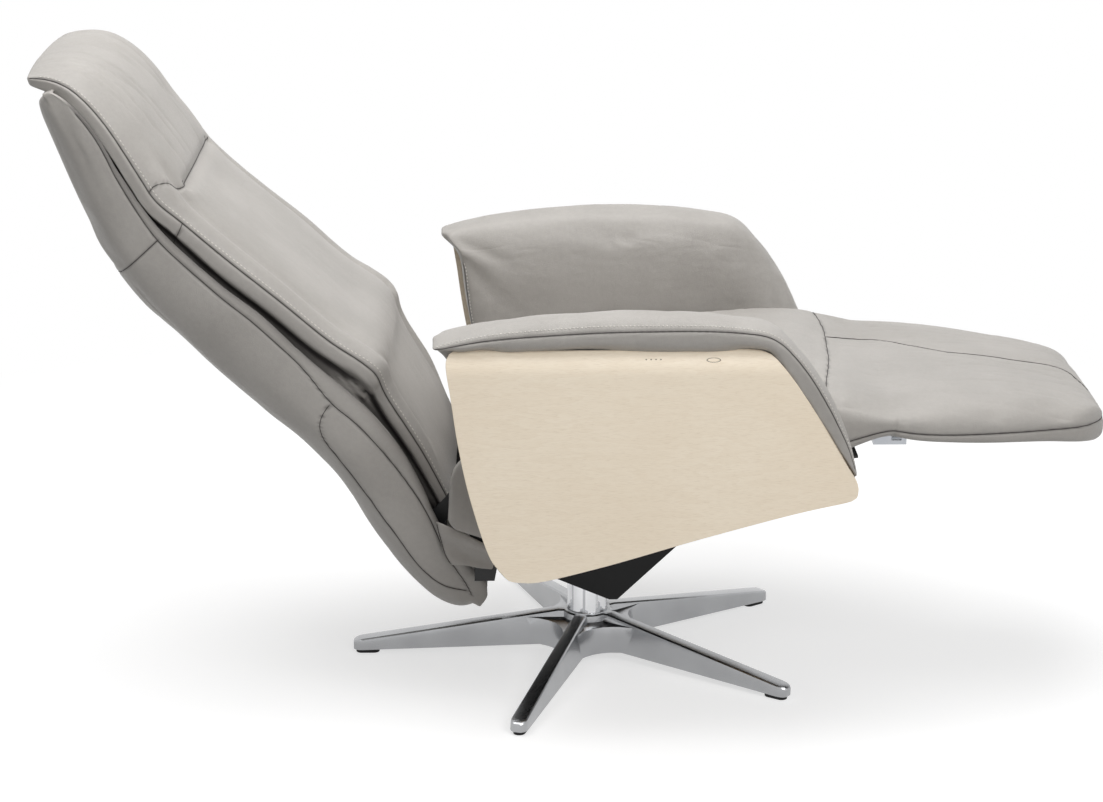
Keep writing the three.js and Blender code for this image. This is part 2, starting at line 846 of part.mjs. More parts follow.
// Each row holds a share of the length and a share of the way from the rear to the front half width.
const footRowShares = [
  [0, 0.01],
  [0.06, 0],
  [0.24, 0.12],
  [0.5, 0.3],
  [0.84, 0.66],
  [0.95, 0.95],
  [0.985, 1.2],
  [1, 1.75],
];
const footTop = (share) => footAt(share, footrest.rearTop, footrest.frontTop);
const footBottom = (share) => footAt(share, footrest.rearBottom, footrest.frontBottom);
const footWide = (share) => footAt(share, footRearHalf, footrest.frontHalfWidth);
const endThinning = (share) => Math.max(0, (share - footrest.thinFromShare) / (1 - footrest.thinFromShare));
const footPadWhole = loft(
  footRowShares.map(([along, narrowing]) => {
    const thickness = footTop(along) - footBottom(along);
    const thinning = footrest.thinShare * thickness * endThinning(along);
    return seatRing(
      footX(along),
      footWide(narrowing),
      footBottom(along) + thinning,
      footTop(along) - thinning,
      footrest.crown * (1 - endThinning(along)),
    );
  }),
);
const boardShape = new THREE.Shape();
const boardShares = [
  [0.05, 0],
  [0.24, 0.12],
  [0.5, 0.3],
  [0.84, 0.66],
  [0.93, 0.95],
];
const boardHalf = (narrowing) => footWide(narrowing) - footrest.boardMargin;
boardShape.moveTo(footX(boardShares[0][0]), -boardHalf(boardShares[0][1]));
for (const [along, narrowing] of boardShares) boardShape.lineTo(footX(along), boardHalf(narrowing));
for (const [along, narrowing] of [...boardShares].reverse().slice(0, -1)) {
  boardShape.lineTo(footX(along), -boardHalf(narrowing));
}
const footSlope = Math.atan2(footrest.frontBottom - footrest.rearBottom, footX(1) - footX(0));
const boardStack = (lift, thickness, spread) => {
  const from = footX(boardShares[0][0]) - spread;
  const to = footX(boardShares[boardShares.length - 1][0]) + spread;
  const under = (x) => footrest.rearBottom + (x - footX(0)) * Math.tan(footSlope) + lift;
  return sidePlate(
    [
      [from, under(from)],
      [to, under(to)],
      [to, under(to) + thickness],
      [from, under(from) + thickness],
    ],
    -chair.runLength,
    chair.runLength,
  );
};
const boardColumn = flatPlate(boardShape, 0, chair.runHeight);
const footBoard = boardStack(clearance, footrest.boardThickness, 0).intersect(boardColumn);
const boardRoomScale = 1 + footrest.boardGapShare;
const boardMiddle = [footX(0.5), 0, 0];
const boardRoomColumn = boardColumn
  .translate([-boardMiddle[0], 0, 0])
  .scale([boardRoomScale, boardRoomScale, 1])
  .translate([boardMiddle[0], 0, 0]);
const boardRoom = boardStack(-overrun, footrest.boardThickness + overrun + 2 * clearance, clearance * 2);
const footPad = footPadWhole.subtract(boardRoom.intersect(boardRoomColumn));
add("footrest_board", footBoard, plywood);
add("footrest_pad", footPad, leather);

// Leg rest hinge: two plates on the front cross tube, a cross bar, two arms under the board and a drive lever
const plateOuter = legHinge.y + steel.plate;
const hingeBoss = (y0, y1, radius) => rod("y", radius, y0, y1, [footrest.pivotX, footrest.pivotZ], bossFacets);
const bracketOutline = [
  [tube.frontX - 2 * tube.radius, tube.frontZ - 1.5 * tube.radius],
  [tube.frontX + 2 * tube.radius, tube.frontZ - 1.5 * tube.radius],
  [seat.frontX - tube.radius, deck.frontZ - 2 * legHinge.bossRadius],
  [footrest.pivotX, footrest.pivotZ - legHinge.bossRadius],
  [footrest.pivotX, footrest.pivotZ + legHinge.bossRadius],
  [seat.frontX, deck.frontZ - clearance],
  [seat.frontX - 4 * legHinge.bossRadius, deck.frontZ - 2 * legHinge.bossRadius],
  [tube.frontX, tube.frontZ + 2 * tube.radius],
  [tube.frontX - 2 * tube.radius, tube.frontZ + 2 * tube.radius],
];
const legBracket = sidePlate(bracketOutline, legHinge.y, plateOuter)
  .add(hingeBoss(legHinge.y, plateOuter, legHinge.bossRadius))
  .subtract(hingeBoss(legHinge.y - overrun, plateOuter + overrun, legHinge.barRadius + runningGap))
  .subtract(tubeHoles);
addPair("leg_hinge_bracket", legBracket, blackSteel);

const armInner = plateOuter + 2 * clearance;
const armOuter = armInner + steel.plate;
const underFoot = (x) => footrest.rearBottom + (x - footX(0)) * Math.tan(footSlope);
const legArmStart = footX(legHinge.armStartShare);
const legArmEnd = footrest.pivotX + legHinge.arm;
const legArmOutline = [
  [footrest.pivotX - legHinge.bossRadius, footrest.pivotZ],
  [footrest.pivotX, footrest.pivotZ - legHinge.bossRadius],
  [footrest.pivotX + legHinge.bossRadius, underFoot(footrest.pivotX) - legHinge.armHeight],
  [legArmEnd, underFoot(legArmEnd) - legHinge.armHeight],
  [legArmEnd, underFoot(legArmEnd) - clearance],
  [legArmStart, underFoot(legArmStart) - clearance],
  [footrest.pivotX, footrest.pivotZ + clearance],
];
const barOuter = armOuter + clearance;
const legArm = sidePlate(legArmOutline, armInner, armOuter)
  .add(hingeBoss(armInner, armOuter, legHinge.bossRadius))
  .subtract(hingeBoss(armInner - overrun, armOuter + overrun, legHinge.barRadius + clearance));
addPair("leg_arm", legArm, blackSteel);

const leverHalf = lever.thickness / 2;
add("leg_hinge_bar", hingeBoss(-barOuter, barOuter, legHinge.barRadius), zincSteel);

// The lever swings through equal angles before and behind the line straight down from the hinge.
const leverDrop = 2 * Math.asin(legDrive.travel / 2 / legDrive.leverLength);
const leverStart = leverDrop / 2;
const leverEnd = [
  footrest.pivotX + legDrive.leverLength * Math.sin(leverStart),
  footrest.pivotZ - legDrive.leverLength * Math.cos(leverStart),
];
const leverPinRadius = steel.pin / 2;
const leverOutline = [
  [footrest.pivotX - lever.half, footrest.pivotZ],
  [leverEnd[0] - lever.half, leverEnd[1] - lever.half],
  [leverEnd[0] + lever.half, leverEnd[1] - lever.half],
  [leverEnd[0] + lever.half, leverEnd[1] + lever.half],
  [footrest.pivotX + lever.half, footrest.pivotZ + lever.half / 2],
];
const legLever = sidePlate(leverOutline, -leverHalf, leverHalf)
  .add(hingeBoss(-leverHalf, leverHalf, legHinge.bossRadius))
  .subtract(hingeBoss(-overrun, overrun, legHinge.barRadius + clearance))
  .add(rod("y", leverPinRadius, -lever.pinReach, lever.pinReach, leverEnd));
add("leg_lever", legLever, blackSteel);

// Back shell: an upholstered bucket, open to the front, lofted along the back
const shellFrontShares = [
  [0.102, 0.95], [0.157, 0.887], [0.218, 0.788], [0.277, 0.704], [0.367, 0.631], [0.475, 0.546],
  [0.585, 0.462], [0.651, 0.396], [0.762, 0.299], [0.851, 0.222], [0.897, 0.168], [0.918, 0.09],
  [0.943, 0.047], [0.979, 0.024],
];
const shellRearShares = [
  [0.044, 0.934], [0.069, 0.86], [0.115, 0.752], [0.172, 0.653], [0.252, 0.575], [0.361, 0.482],
  [0.47, 0.396], [0.525, 0.352], [0.602, 0.288], [0.664, 0.208], [0.718, 0.137], [0.795, 0.061],
  [0.852, 0.021], [0.925, 0],
];
const shellWideShares = [0.1, 0.35, 0.6, 0.8, 0.95, 1, 1, 1, 1, 1, 1, 0.98, 0.95, 0.88];
const shellFront = onBack(shellFrontShares);
const shellRear = onBack(shellRearShares);
const shellSides = 14;
const shellPowerShare = 0.35;
const bellyPowerShare = 0.5;
const shellHalf = (share) => shellTopHalfWidth + share * (shellHalfWidth - shellTopHalfWidth);
// A section across the back: a flat mouth at the front line and a rounded belly at the rear line.
const bellyRing = (front, rear, halfWidth, forward) => {
  const along = [rear[0] - front[0], rear[1] - front[1]];
  const belly = Array.from({ length: shellSides + 1 }, (_, i) => {
    const angle = (Math.PI * i) / shellSides;
    const y = halfWidth * superRound(Math.cos(angle), shellPowerShare);
    const depth = superRound(Math.sin(angle), bellyPowerShare);
    return [front[0] + along[0] * depth, y, front[1] + along[1] * depth];
  });
  const mouth = [front[0] - along[0] * forward, front[1] - along[1] * forward];
  const lips = forward > 0 ? [[mouth[0], -halfWidth, mouth[1]], [mouth[0], halfWidth, mouth[1]]] : [];
  return [...belly, ...lips];
};
const shellOuter = loft(
  shellFront.map((front, i) => bellyRing(front, shellRear[i], shellHalf(shellWideShares[i]), 0)),
);
const hollowRow = (front, rear, share) => {
  const depth = Math.hypot(rear[0] - front[0], rear[1] - front[1]);
  const kept = Math.max(back.leastHollowShare, 1 - back.shellWall / depth);
  const inner = [front[0] + (rear[0] - front[0]) * kept, front[1] + (rear[1] - front[1]) * kept];
  return bellyRing(front, inner, shellHalf(share) - back.shellWall, back.mouthShare);
};
const hollowRows = shellFront
  .map((front, i) => hollowRow(front, shellRear[i], shellWideShares[i]))
  .slice(1, -1);

// A leather flap on each side, sewn to the shell's front edge and led forward beside the hinge
const flapOutline = onBack([
  [0.858, 0.179],
  [0.89, 0.177],
  [0.99, 0.14],
  [1.004, 0.09],
  [0.933, 0.095],
  [0.872, 0.127],
]);
const sewnOutline = onBack([
  [0.83, 0.19],
  [0.892, 0.177],
  [0.905, 0.13],
  [0.86, 0.1],
]);
const flapOuter = flapInnerY + flap.thickness;
const leftFlap = sidePlate(flapOutline, flapInnerY, flapOuter).add(
  sidePlate(sewnOutline, shellHalfWidth - flap.sewnDepth, flapOuter),
);
const backShell = join(shellOuter.subtract(loft(hollowRows)), leftFlap, mirrored(leftFlap));
add("back_shell", backShell, leather);

// Back cushion: crowned across, thinner towards its lower end
const cushionFrontShares = [
  [0.3, 0.784], [0.357, 0.744], [0.462, 0.673], [0.549, 0.604], [0.652, 0.525], [0.738, 0.463],
  [0.816, 0.372], [0.895, 0.253], [0.923, 0.201],
];
const cushionWideShares = [0.97, 1, 1, 1, 1, 1, 0.8, 0.2, 0];
const cushionCrownShares = [0.2, 1, 1, 1, 0.9, 0.7, 0.4, 0.2, 0];
const padRing = (rear, front, halfWidth, crown) => {
  const across = [front[0] - rear[0], front[1] - rear[1]];
  const depth = Math.hypot(...across);
  return Array.from({ length: cushionSides }, (_, i) => {
    const angle = (2 * Math.PI * i) / cushionSides;
    const y = halfWidth * superRound(Math.cos(angle), cushionPowerShare);
    const rise = superRound(Math.sin(angle), cushionPowerShare);
    const lift = rise > 0 ? (crown / depth) * (1 - (y / halfWidth) ** 2) : 0;
    const share = (1 + rise) / 2 + lift;
    return [rear[0] + across[0] * share, y, rear[1] + across[1] * share];
  });
};
const raised = (line, distance) =>
  line.map(([x, z], i) => {
    const before = line[Math.max(i - 1, 0)];
    const after = line[Math.min(i + 1, line.length - 1)];
    const along = new THREE.Vector2(after[0] - before[0], after[1] - before[1]).normalize();
    return [x - along.y * distance, z + along.x * distance];
  });
const cushionRear = raised(shellFront, clearance).slice(2, 2 + cushionFrontShares.length);
const cushionFront = onBack(cushionFrontShares);
const cushionHalf = (share) => cushionLowHalfWidth + share * (cushionHalfWidth - cushionLowHalfWidth);
const backCushion = loft(
  cushionRear.map((rear, i) =>
    padRing(rear, cushionFront[i], cushionHalf(cushionWideShares[i]), cushionCrownShares[i] * back.crown),
  ),
);

// Head cushion: curls back over the top of the shell
const headRearShares = [
  [0.025, 0.975], [0.056, 0.972], [0.098, 0.966], [0.138, 0.939], [0.172, 0.894], [0.207, 0.839],
  [0.228, 0.802],
];
const headFrontShares = [
  [0.005, 0.992], [0.052, 0.997], [0.108, 0.991], [0.161, 0.964], [0.213, 0.913], [0.262, 0.846],
  [0.293, 0.797],
];
const headCrownShares = [0, 0.3, 0.8, 1, 1, 0.6, 0.1];
const headWideShares = [0.985, 0.995, 1, 1, 1, 1, 0.985];
const headRear = onBack(headRearShares);
const headFront = onBack(headFrontShares);
const headCushion = loft(
  headRear.map((rear, i) =>
    padRing(rear, headFront[i], headWideShares[i] * headHalfWidth, headCrownShares[i] * head.crown),
  ),
);

// Head hinge: two steel leaves on each side, in slots of the two cushions, on one pin in the crease
const headPivotShares = [0.3, 0.79024];
const headPivot = onBack([headPivotShares])[0];
const toShell = [cushionRear[0][0] - cushionFront[0][0], cushionRear[0][1] - cushionFront[0][1]];
const lowLeafEnd = headPivot.map((value, axis) => value + headHinge.lowLeafShare * toShell[axis]);
const headLeafShares = [0.172, 0.863];
const highLeafEnd = onBack([headLeafShares])[0];
const strap = (from, to, halfWidth, y0, y1) => {
  const along = new THREE.Vector2(to[0] - from[0], to[1] - from[1]).setLength(halfWidth);
  return sidePlate(
    [
      [from[0] + along.y, from[1] - along.x],
      [to[0] + along.y, to[1] - along.x],
      [to[0] - along.y, to[1] + along.x],
      [from[0] - along.y, from[1] + along.x],
    ],
    y0,
    y1,
  );
};
const pinAt = (centre, radius, y0, y1) => rod("y", radius, y0, y1, centre);
const lowLeafY = headHingeY + steel.plate;
const highLeafY = lowLeafY + 2 * clearance;
const highLeafEndY = highLeafY + steel.plate;
const lowLeaf = strap(headPivot, lowLeafEnd, headHinge.leafHalf, headHingeY, lowLeafY)
  .add(pinAt(headPivot, headHinge.discRadius, headHingeY, lowLeafY))
  .add(pinAt(headPivot, headHinge.pinRadius, headHingeY, highLeafEndY));
const highLeaf = strap(headPivot, highLeafEnd, headHinge.leafHalf, highLeafY, highLeafEndY)
  .add(pinAt(headPivot, headHinge.discRadius, highLeafY, highLeafEndY))
  .subtract(
    pinAt(headPivot, headHinge.pinRadius + runningGap, highLeafY - overrun, highLeafEndY + overrun),
  );
const slotFrom = headHingeY - headHinge.slotMargin;
const slotTo = highLeafEndY + headHinge.slotMargin;
const slotHalf = headHinge.discRadius + headHinge.slotMargin;
const slot = strap(headPivot, lowLeafEnd, slotHalf, slotFrom, slotTo)
  .add(strap(headPivot, highLeafEnd, slotHalf, slotFrom, slotTo))
  .add(pinAt(headPivot, slotHalf, slotFrom, slotTo));
const bothSlots = slot.add(mirrored(slot));
add("back_cushion", backCushion.subtract(bothSlots), leather);
add("head_cushion", headCushion.subtract(bothSlots), leather);
const bothSides = (solid) => solid.add(mirrored(solid));
const headBoardLine = headRear.slice(2, -1);
const headBoard = sidePlate(
  [...raised(headBoardLine, -clearance), ...raised(headBoardLine, -head.boardThickness).reverse()],
  -headHalfWidth + 2 * slotHalf,
  headHalfWidth - 2 * slotHalf,
);
add("head_frame", headBoard.add(bothSides(highLeaf)), blackSteel);

// Back frame: two flat side bars in the shell, cross tubes, hinge arms, head leaves and the drive lever
const frameDepth = back.panelThickness + 2 * clearance + backFrame.barHalf;
const barStations = [2, 12];
const tubeStations = [0, 4, 8, 9];
const panelStations = [3, 10];
const barLine = shellFront.slice(...barStations);
const tubeLine = raised(barLine, -frameDepth);
const [topTube, middleTube, hingeTube, lowTube] = tubeStations.map((station) => tubeLine[station]);
const barOuterY = backBarY + backFrame.barThickness;
const sideBar = sidePlate(
  [
    ...raised(barLine, backFrame.barHalf - frameDepth),
    ...raised(barLine, -backFrame.barHalf - frameDepth).reverse(),
  ],
  backBarY,
  barOuterY,
);
const frameTubes = join(
  pinAt(topTube, backFrame.tubeRadius, -backBarY, backBarY),
  pinAt(middleTube, backFrame.tubeRadius, -backBarY, backBarY),
  pinAt(hingeTube, backFrame.tubeRadius, -backArmY, backArmY),
  pinAt(lowTube, backFrame.tubeRadius, -backBarY, backBarY),
);
const backPivot = [back.pivotX, back.pivotZ];
const backArmOuter = backArmY + steel.plate;
const hingePlateInner = tubeEnd + clearance;
const hingePlateOuter = hingePlateInner + steel.plate;
const backArm = strap(hingeTube, backPivot, backFrame.armHalf, backArmY, backArmOuter)
  .add(pinAt(hingeTube, backFrame.armHalf, backArmY, backArmOuter))
  .add(pinAt(backPivot, backFrame.armHalf, backArmY, backArmOuter))
  .add(pinAt(backPivot, steel.pin, backArmY, hingePlateOuter));
const lug = [backDrive.lugX, backDrive.lugZ];
const backLever = strap(lowTube, lug, backDrive.lugHalf, -leverHalf, leverHalf)
  .add(pinAt(lug, backDrive.lugHalf, -leverHalf, leverHalf))
  .add(pinAt(lug, leverPinRadius, -lever.pinReach, lever.pinReach));
add(
  "back_frame",
  join(bothSides(sideBar), bothSides(backArm), bothSides(lowLeaf), frameTubes, backLever),
  blackSteel,
);

// A thin panel on the side bars carries the back cushion in the shell's mouth.
const panelFace = shellFront.slice(...panelStations);
const backPanel = sidePlate(
  [...panelFace, ...raised(panelFace, -back.panelThickness).reverse()],
  -barOuterY - backFrame.tubeRadius,
  barOuterY + backFrame.tubeRadius,
);
add("back_panel", backPanel, plywood);

// Hinge plates of the back, on the outside of the frame sides, each with a lower tab for its bolts
const plateEdge = backPlate.edge;
const tabZ = back.pivotZ - backPlate.tabDrop;
const plateFrontX = armRail.fromX - 2 * clearance - plateEdge / 2;
const hingePlateOutline = [
  [back.pivotX - plateEdge, back.pivotZ - plateEdge],
  [back.pivotX + plateEdge, back.pivotZ - 5 * plateEdge],
  [back.pivotX + plateEdge, tabZ],
  [back.pivotX + 3 * plateEdge, tabZ],
  [plateFrontX, back.pivotZ - 5 * plateEdge],
  [plateFrontX, back.pivotZ],
  [back.pivotX + plateEdge, back.pivotZ + plateEdge],
  [back.pivotX - plateEdge, back.pivotZ + plateEdge],
];
const hingePlate = sidePlate(hingePlateOutline, hingePlateInner, hingePlateOuter).subtract(
  pinAt(backPivot, steel.pin + runningGap, hingePlateInner - overrun, hingePlateOuter + overrun),
);
addPair("back_hinge_plate", hingePlate, blackSteel);

// Upholstered rear corner of the seat, between the arm's inner face and the back's flap
const cornerShares = [
  [0, 0.75], [0, 0.227], [0.216, 0.023], [0.622, 0], [1, 0.182], [1, 0.977], [0.216, 1],
];
const corner = sidePlate(
  placed(
    cornerShares,
    back.pivotX - seatCorner.behind,
    back.pivotZ - seatCorner.below,
    seatCorner.length,
    seatCorner.height,
  ),
  cornerInnerY,
  armInnerY - clearance,
  seatCorner.rounding,
);
addPair("seat_corner", corner.subtract(railRoom), leather);

// Under-seat cover: a tub round the swivel, open on top, with a hole for the column and one for the drive rod
const coverHalf = plateHalfWidth + clearance + cover.wall;
const coverShares = [
  [0, 0.536], [0.301, 0.232], [0.527, 0], [0.563, 0], [0.795, 0.529], [1, 1], [0, 1],
];
const coverOutline = placed(coverShares, cover.rearX, cover.lowZ, cover.length, cover.topZ - cover.lowZ);
const coverInside = grown(coverOutline, -cover.wall).map(([x, z]) => [
  x,
  z > cover.topZ - 2 * cover.wall ? cover.topZ + overrun : z,
]);
const underCover = sidePlate(coverOutline, -coverHalf, coverHalf)
  .subtract(sidePlate(coverInside, -coverHalf + cover.wall, coverHalf - cover.wall))
  .subtract(rod("z", column.radius + cover.columnGap, 0, spindleFlangeBottom, [0, 0], roundSides))
  .subtract(
    box(
      cover.rearX - overrun,
      cover.rearX + overrun / 2,
      -overrun,
      overrun,
      backDrive.z - overrun,
      cover.topZ + overrun,
    ),
  );
add("under_seat_cover", underCover, blackPlastic);

// Back drive: a motor unit on the swivel plate and a rod whose slotted fork pushes the back's lever
const driveBore = (z, radius, from, to) => rod("x", radius, from, to, [0, z]);
const gearFrom = backDrive.gearFrom;
const gearTo = plateHalfLength - motor.gap;
const gearHalf = motor.gearHalf;
const motorZ = backDrive.z + 2 * motor.radius;
const backDriveBody = join(
  driveBore(backDrive.z, backDrive.tubeRadius, backDrive.bodyRear, gearTo),
  box(gearFrom, gearTo, -gearHalf, gearHalf, plateTop + clearance, motorZ + motor.radius + clearance),
  driveBore(motorZ, motor.radius, -gearFrom, gearTo),
  box(-gearFrom, -gearFrom / 2, -gearHalf / 2, gearHalf / 2, backDrive.z, motorZ),
).subtract(
  driveBore(backDrive.z, backDrive.rodRadius + runningGap, backDrive.bodyRear - overrun, gearFrom),
);
add("back_drive_motor", backDriveBody, blackPlastic);

const lugSag = backDrive.lugZ - backDrive.z;
const backForkHigh = leverPinRadius + lugSag + clearance + fork.play;
const rodTailX = gearFrom - 2 * overrun;
const backFork = box(
  lug[0] - fork.alongHalf,
  lug[0] + fork.alongHalf + fork.slotHalf,
  -fork.acrossHalf,
  fork.acrossHalf,
  backDrive.z - fork.height,
  backDrive.z + fork.height,
)
  .subtract(
    box(
      lug[0] - overrun,
      lug[0] + fork.alongHalf,
      -fork.gapHalf,
      fork.gapHalf,
      backDrive.z - overrun,
      backDrive.z + overrun,
    ),
  )
  .subtract(
    box(
      lug[0] - fork.slotHalf,
      lug[0] + fork.slotHalf,
      -overrun,
      overrun,
      backDrive.z - backForkHigh,
      backDrive.z + backForkHigh,
    ),
  )
  .add(driveBore(backDrive.z, backDrive.rodRadius, lug[0] + fork.alongHalf + clearance, rodTailX));
add("back_drive_rod", backFork, zincSteel);

// Leg drive: a motor unit on the front cross tube and a rod whose slotted fork pulls the leg rest's lever
const legMotorZ = legDrive.z - 2 * motor.radius - motor.gap;
const legBoreFrom = legDrive.gearFrom + motor.boreWall;
const legDriveBody = join(
  driveBore(legDrive.z, legDrive.tubeRadius, legDrive.gearFrom, legDrive.bodyFront),
  box(
    legDrive.gearFrom,
    legDrive.gearTo,
    -gearHalf,
    gearHalf,
    legMotorZ - motor.radius,
    legDrive.z + legDrive.gearRise,
  ),
  driveBore(legMotorZ, motor.radius, legDrive.gearFrom, tube.frontX + overrun),
  box(
    tube.frontX - tube.radius,
    tube.frontX + tube.radius,
    -tube.radius,
    tube.radius,
    tube.frontZ + tube.radius + clearance,
    legMotorZ,
  ),
).subtract(
  driveBore(legDrive.z, legDrive.rodRadius + runningGap, legBoreFrom, legDrive.bodyFront + overrun),
);
add("leg_drive_motor", legDriveBody, blackPlastic);

const leverLowZ = footrest.pivotZ - legDrive.leverLength;
const legForkTail = leverEnd[0] - 2 * fork.alongHalf - legDrive.tailGap;
const legRodTail = legBoreFrom + 2 * runningGap + legDrive.travel;
const legFork = box(
  legForkTail,
  leverEnd[0] + fork.alongHalf,
  -fork.acrossHalf,
  fork.acrossHalf,
  leverLowZ - fork.height,
  leverEnd[1] + fork.height,
)
  .subtract(
    box(
      legForkTail + fork.web,
      leverEnd[0] + overrun,
      -fork.gapHalf,
      fork.gapHalf,
      leverLowZ - overrun,
      leverEnd[1] + overrun,
    ),
  )
  .subtract(
    box(
      leverEnd[0] - fork.slotHalf,
      leverEnd[0] + fork.slotHalf,
      -overrun,
      overrun,
      leverLowZ - leverPinRadius - fork.play,
      leverEnd[1] + leverPinRadius + fork.play,
    ),
  )
  .add(driveBore(legDrive.z, legDrive.rodRadius, legRodTail, legForkTail + clearance));
add("leg_drive_rod", legFork, zincSteel);

// Control box and battery pack, on the inner faces of the frame sides
const inboard = frameSideY - clearance;
add(
  "control_box",
  box(controlBox.fromX, controlBox.toX, inboard - controlBox.depth, inboard, controlBox.bottom, controlBox.top),
  blackPlastic,
);
add(
  "battery_pack",
  box(
    batteryPack.fromX,
    batteryPack.toX,
    -inboard,
    -inboard + batteryPack.depth,
    batteryPack.bottom,
    batteryPack.top,
  ),
  blackPlastic,
);

export default recliner;
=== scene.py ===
"""Star base swivel recliner, reclined with its leg rest out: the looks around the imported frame.

Lengths are in millimetres where nothing else is said, in the part's frame: +X towards the sitter's feet,
+Y away from the camera, +Z up.
"""

import json
import logging
import math
from dataclasses import dataclass, field
from enum import Enum
from itertools import product
from typing import Callable, Sequence

import bmesh
import bpy
import numpy as np
from mathutils import Matrix, Vector, noise
from mathutils.bvhtree import BVHTree
from mathutils.kdtree import KDTree


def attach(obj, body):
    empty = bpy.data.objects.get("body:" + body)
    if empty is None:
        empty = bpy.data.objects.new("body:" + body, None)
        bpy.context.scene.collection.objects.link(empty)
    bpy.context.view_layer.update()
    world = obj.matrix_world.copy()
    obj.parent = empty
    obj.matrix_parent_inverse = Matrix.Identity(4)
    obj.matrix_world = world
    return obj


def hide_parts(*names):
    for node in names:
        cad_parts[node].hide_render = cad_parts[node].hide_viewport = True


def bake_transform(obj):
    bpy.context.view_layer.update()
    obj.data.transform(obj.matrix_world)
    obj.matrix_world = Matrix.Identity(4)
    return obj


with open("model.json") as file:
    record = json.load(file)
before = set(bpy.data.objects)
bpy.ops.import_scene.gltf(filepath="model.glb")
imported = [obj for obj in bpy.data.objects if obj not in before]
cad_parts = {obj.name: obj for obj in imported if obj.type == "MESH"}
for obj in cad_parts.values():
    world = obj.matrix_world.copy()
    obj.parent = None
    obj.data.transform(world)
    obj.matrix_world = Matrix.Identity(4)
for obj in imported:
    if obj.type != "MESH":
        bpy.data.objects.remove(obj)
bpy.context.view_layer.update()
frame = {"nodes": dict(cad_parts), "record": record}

LOG = logging.getLogger("recliner")
MM = 0.001
Array = np.ndarray
Colour = tuple[float, float, float, float]
Points = Sequence[Sequence[float]]
WHITE = (1.0, 1.0, 1.0, 1.0)
LINED_NODES = ("back_panel", "footrest_board")

# Directions of the reclined back: the one that its front faces, and the axes of its creases.
RECLINED_FACE = np.array([0.73, 0, 0.68])
DOWN_THE_BACK = np.array([0.6, 0, -0.8])
ACROSS = np.array([0, 1, 0])
OUT_OF_THE_BACK = np.array([0.8, 0, 0.6])

# The cloth simulation that puffs the pads, and how near to a seam the leather is held.
PUFF_FRAMES = 20
PUFF_SETTINGS = {
    "quality": 5,
    "mass": 0.4,
    "tension_stiffness": 25,
    "compression_stiffness": 25,
    "shear_stiffness": 12,
    "bending_stiffness": 3,
    "use_pressure": True,
    "vertex_group_mass": "held",
}
HELD_BESIDE_SEAM = 4.5

# How many of its widths a seam reaches, and how wide and how dark its line of painted shade is.
SEAM_REACH = 4
SEAM_LINE = 1.5
SEAM_SHADE = 0.75


class Slot(Enum):
    """The record's material slots."""

    ALUMINIUM = "polished_aluminium"
    CHROME = "chrome_tube"
    LEATHER = "leather"
    VENEER = "birch_veneer"
    PLYWOOD = "plywood"
    BLACK_PLASTIC = "black_plastic"
    BLACK_STEEL = "black_steel"
    ZINC = "zinc_steel"
    BRONZE = "bronze"
    WEBBING = "webbing"


def tone(red: int, green: int, blue: int) -> Colour:
    """A colour written as on a screen, in Blender's linear numbers.

    Args:
        red: Red, 0 to 255.
        green: Green, 0 to 255.
        blue: Blue, 0 to 255.

    Returns:
        The linear colour with full alpha.
    """
    linear = [((c / 255 + 0.055) / 1.055) ** 2.4 for c in (red, green, blue)]
    return (*linear, 1.0)


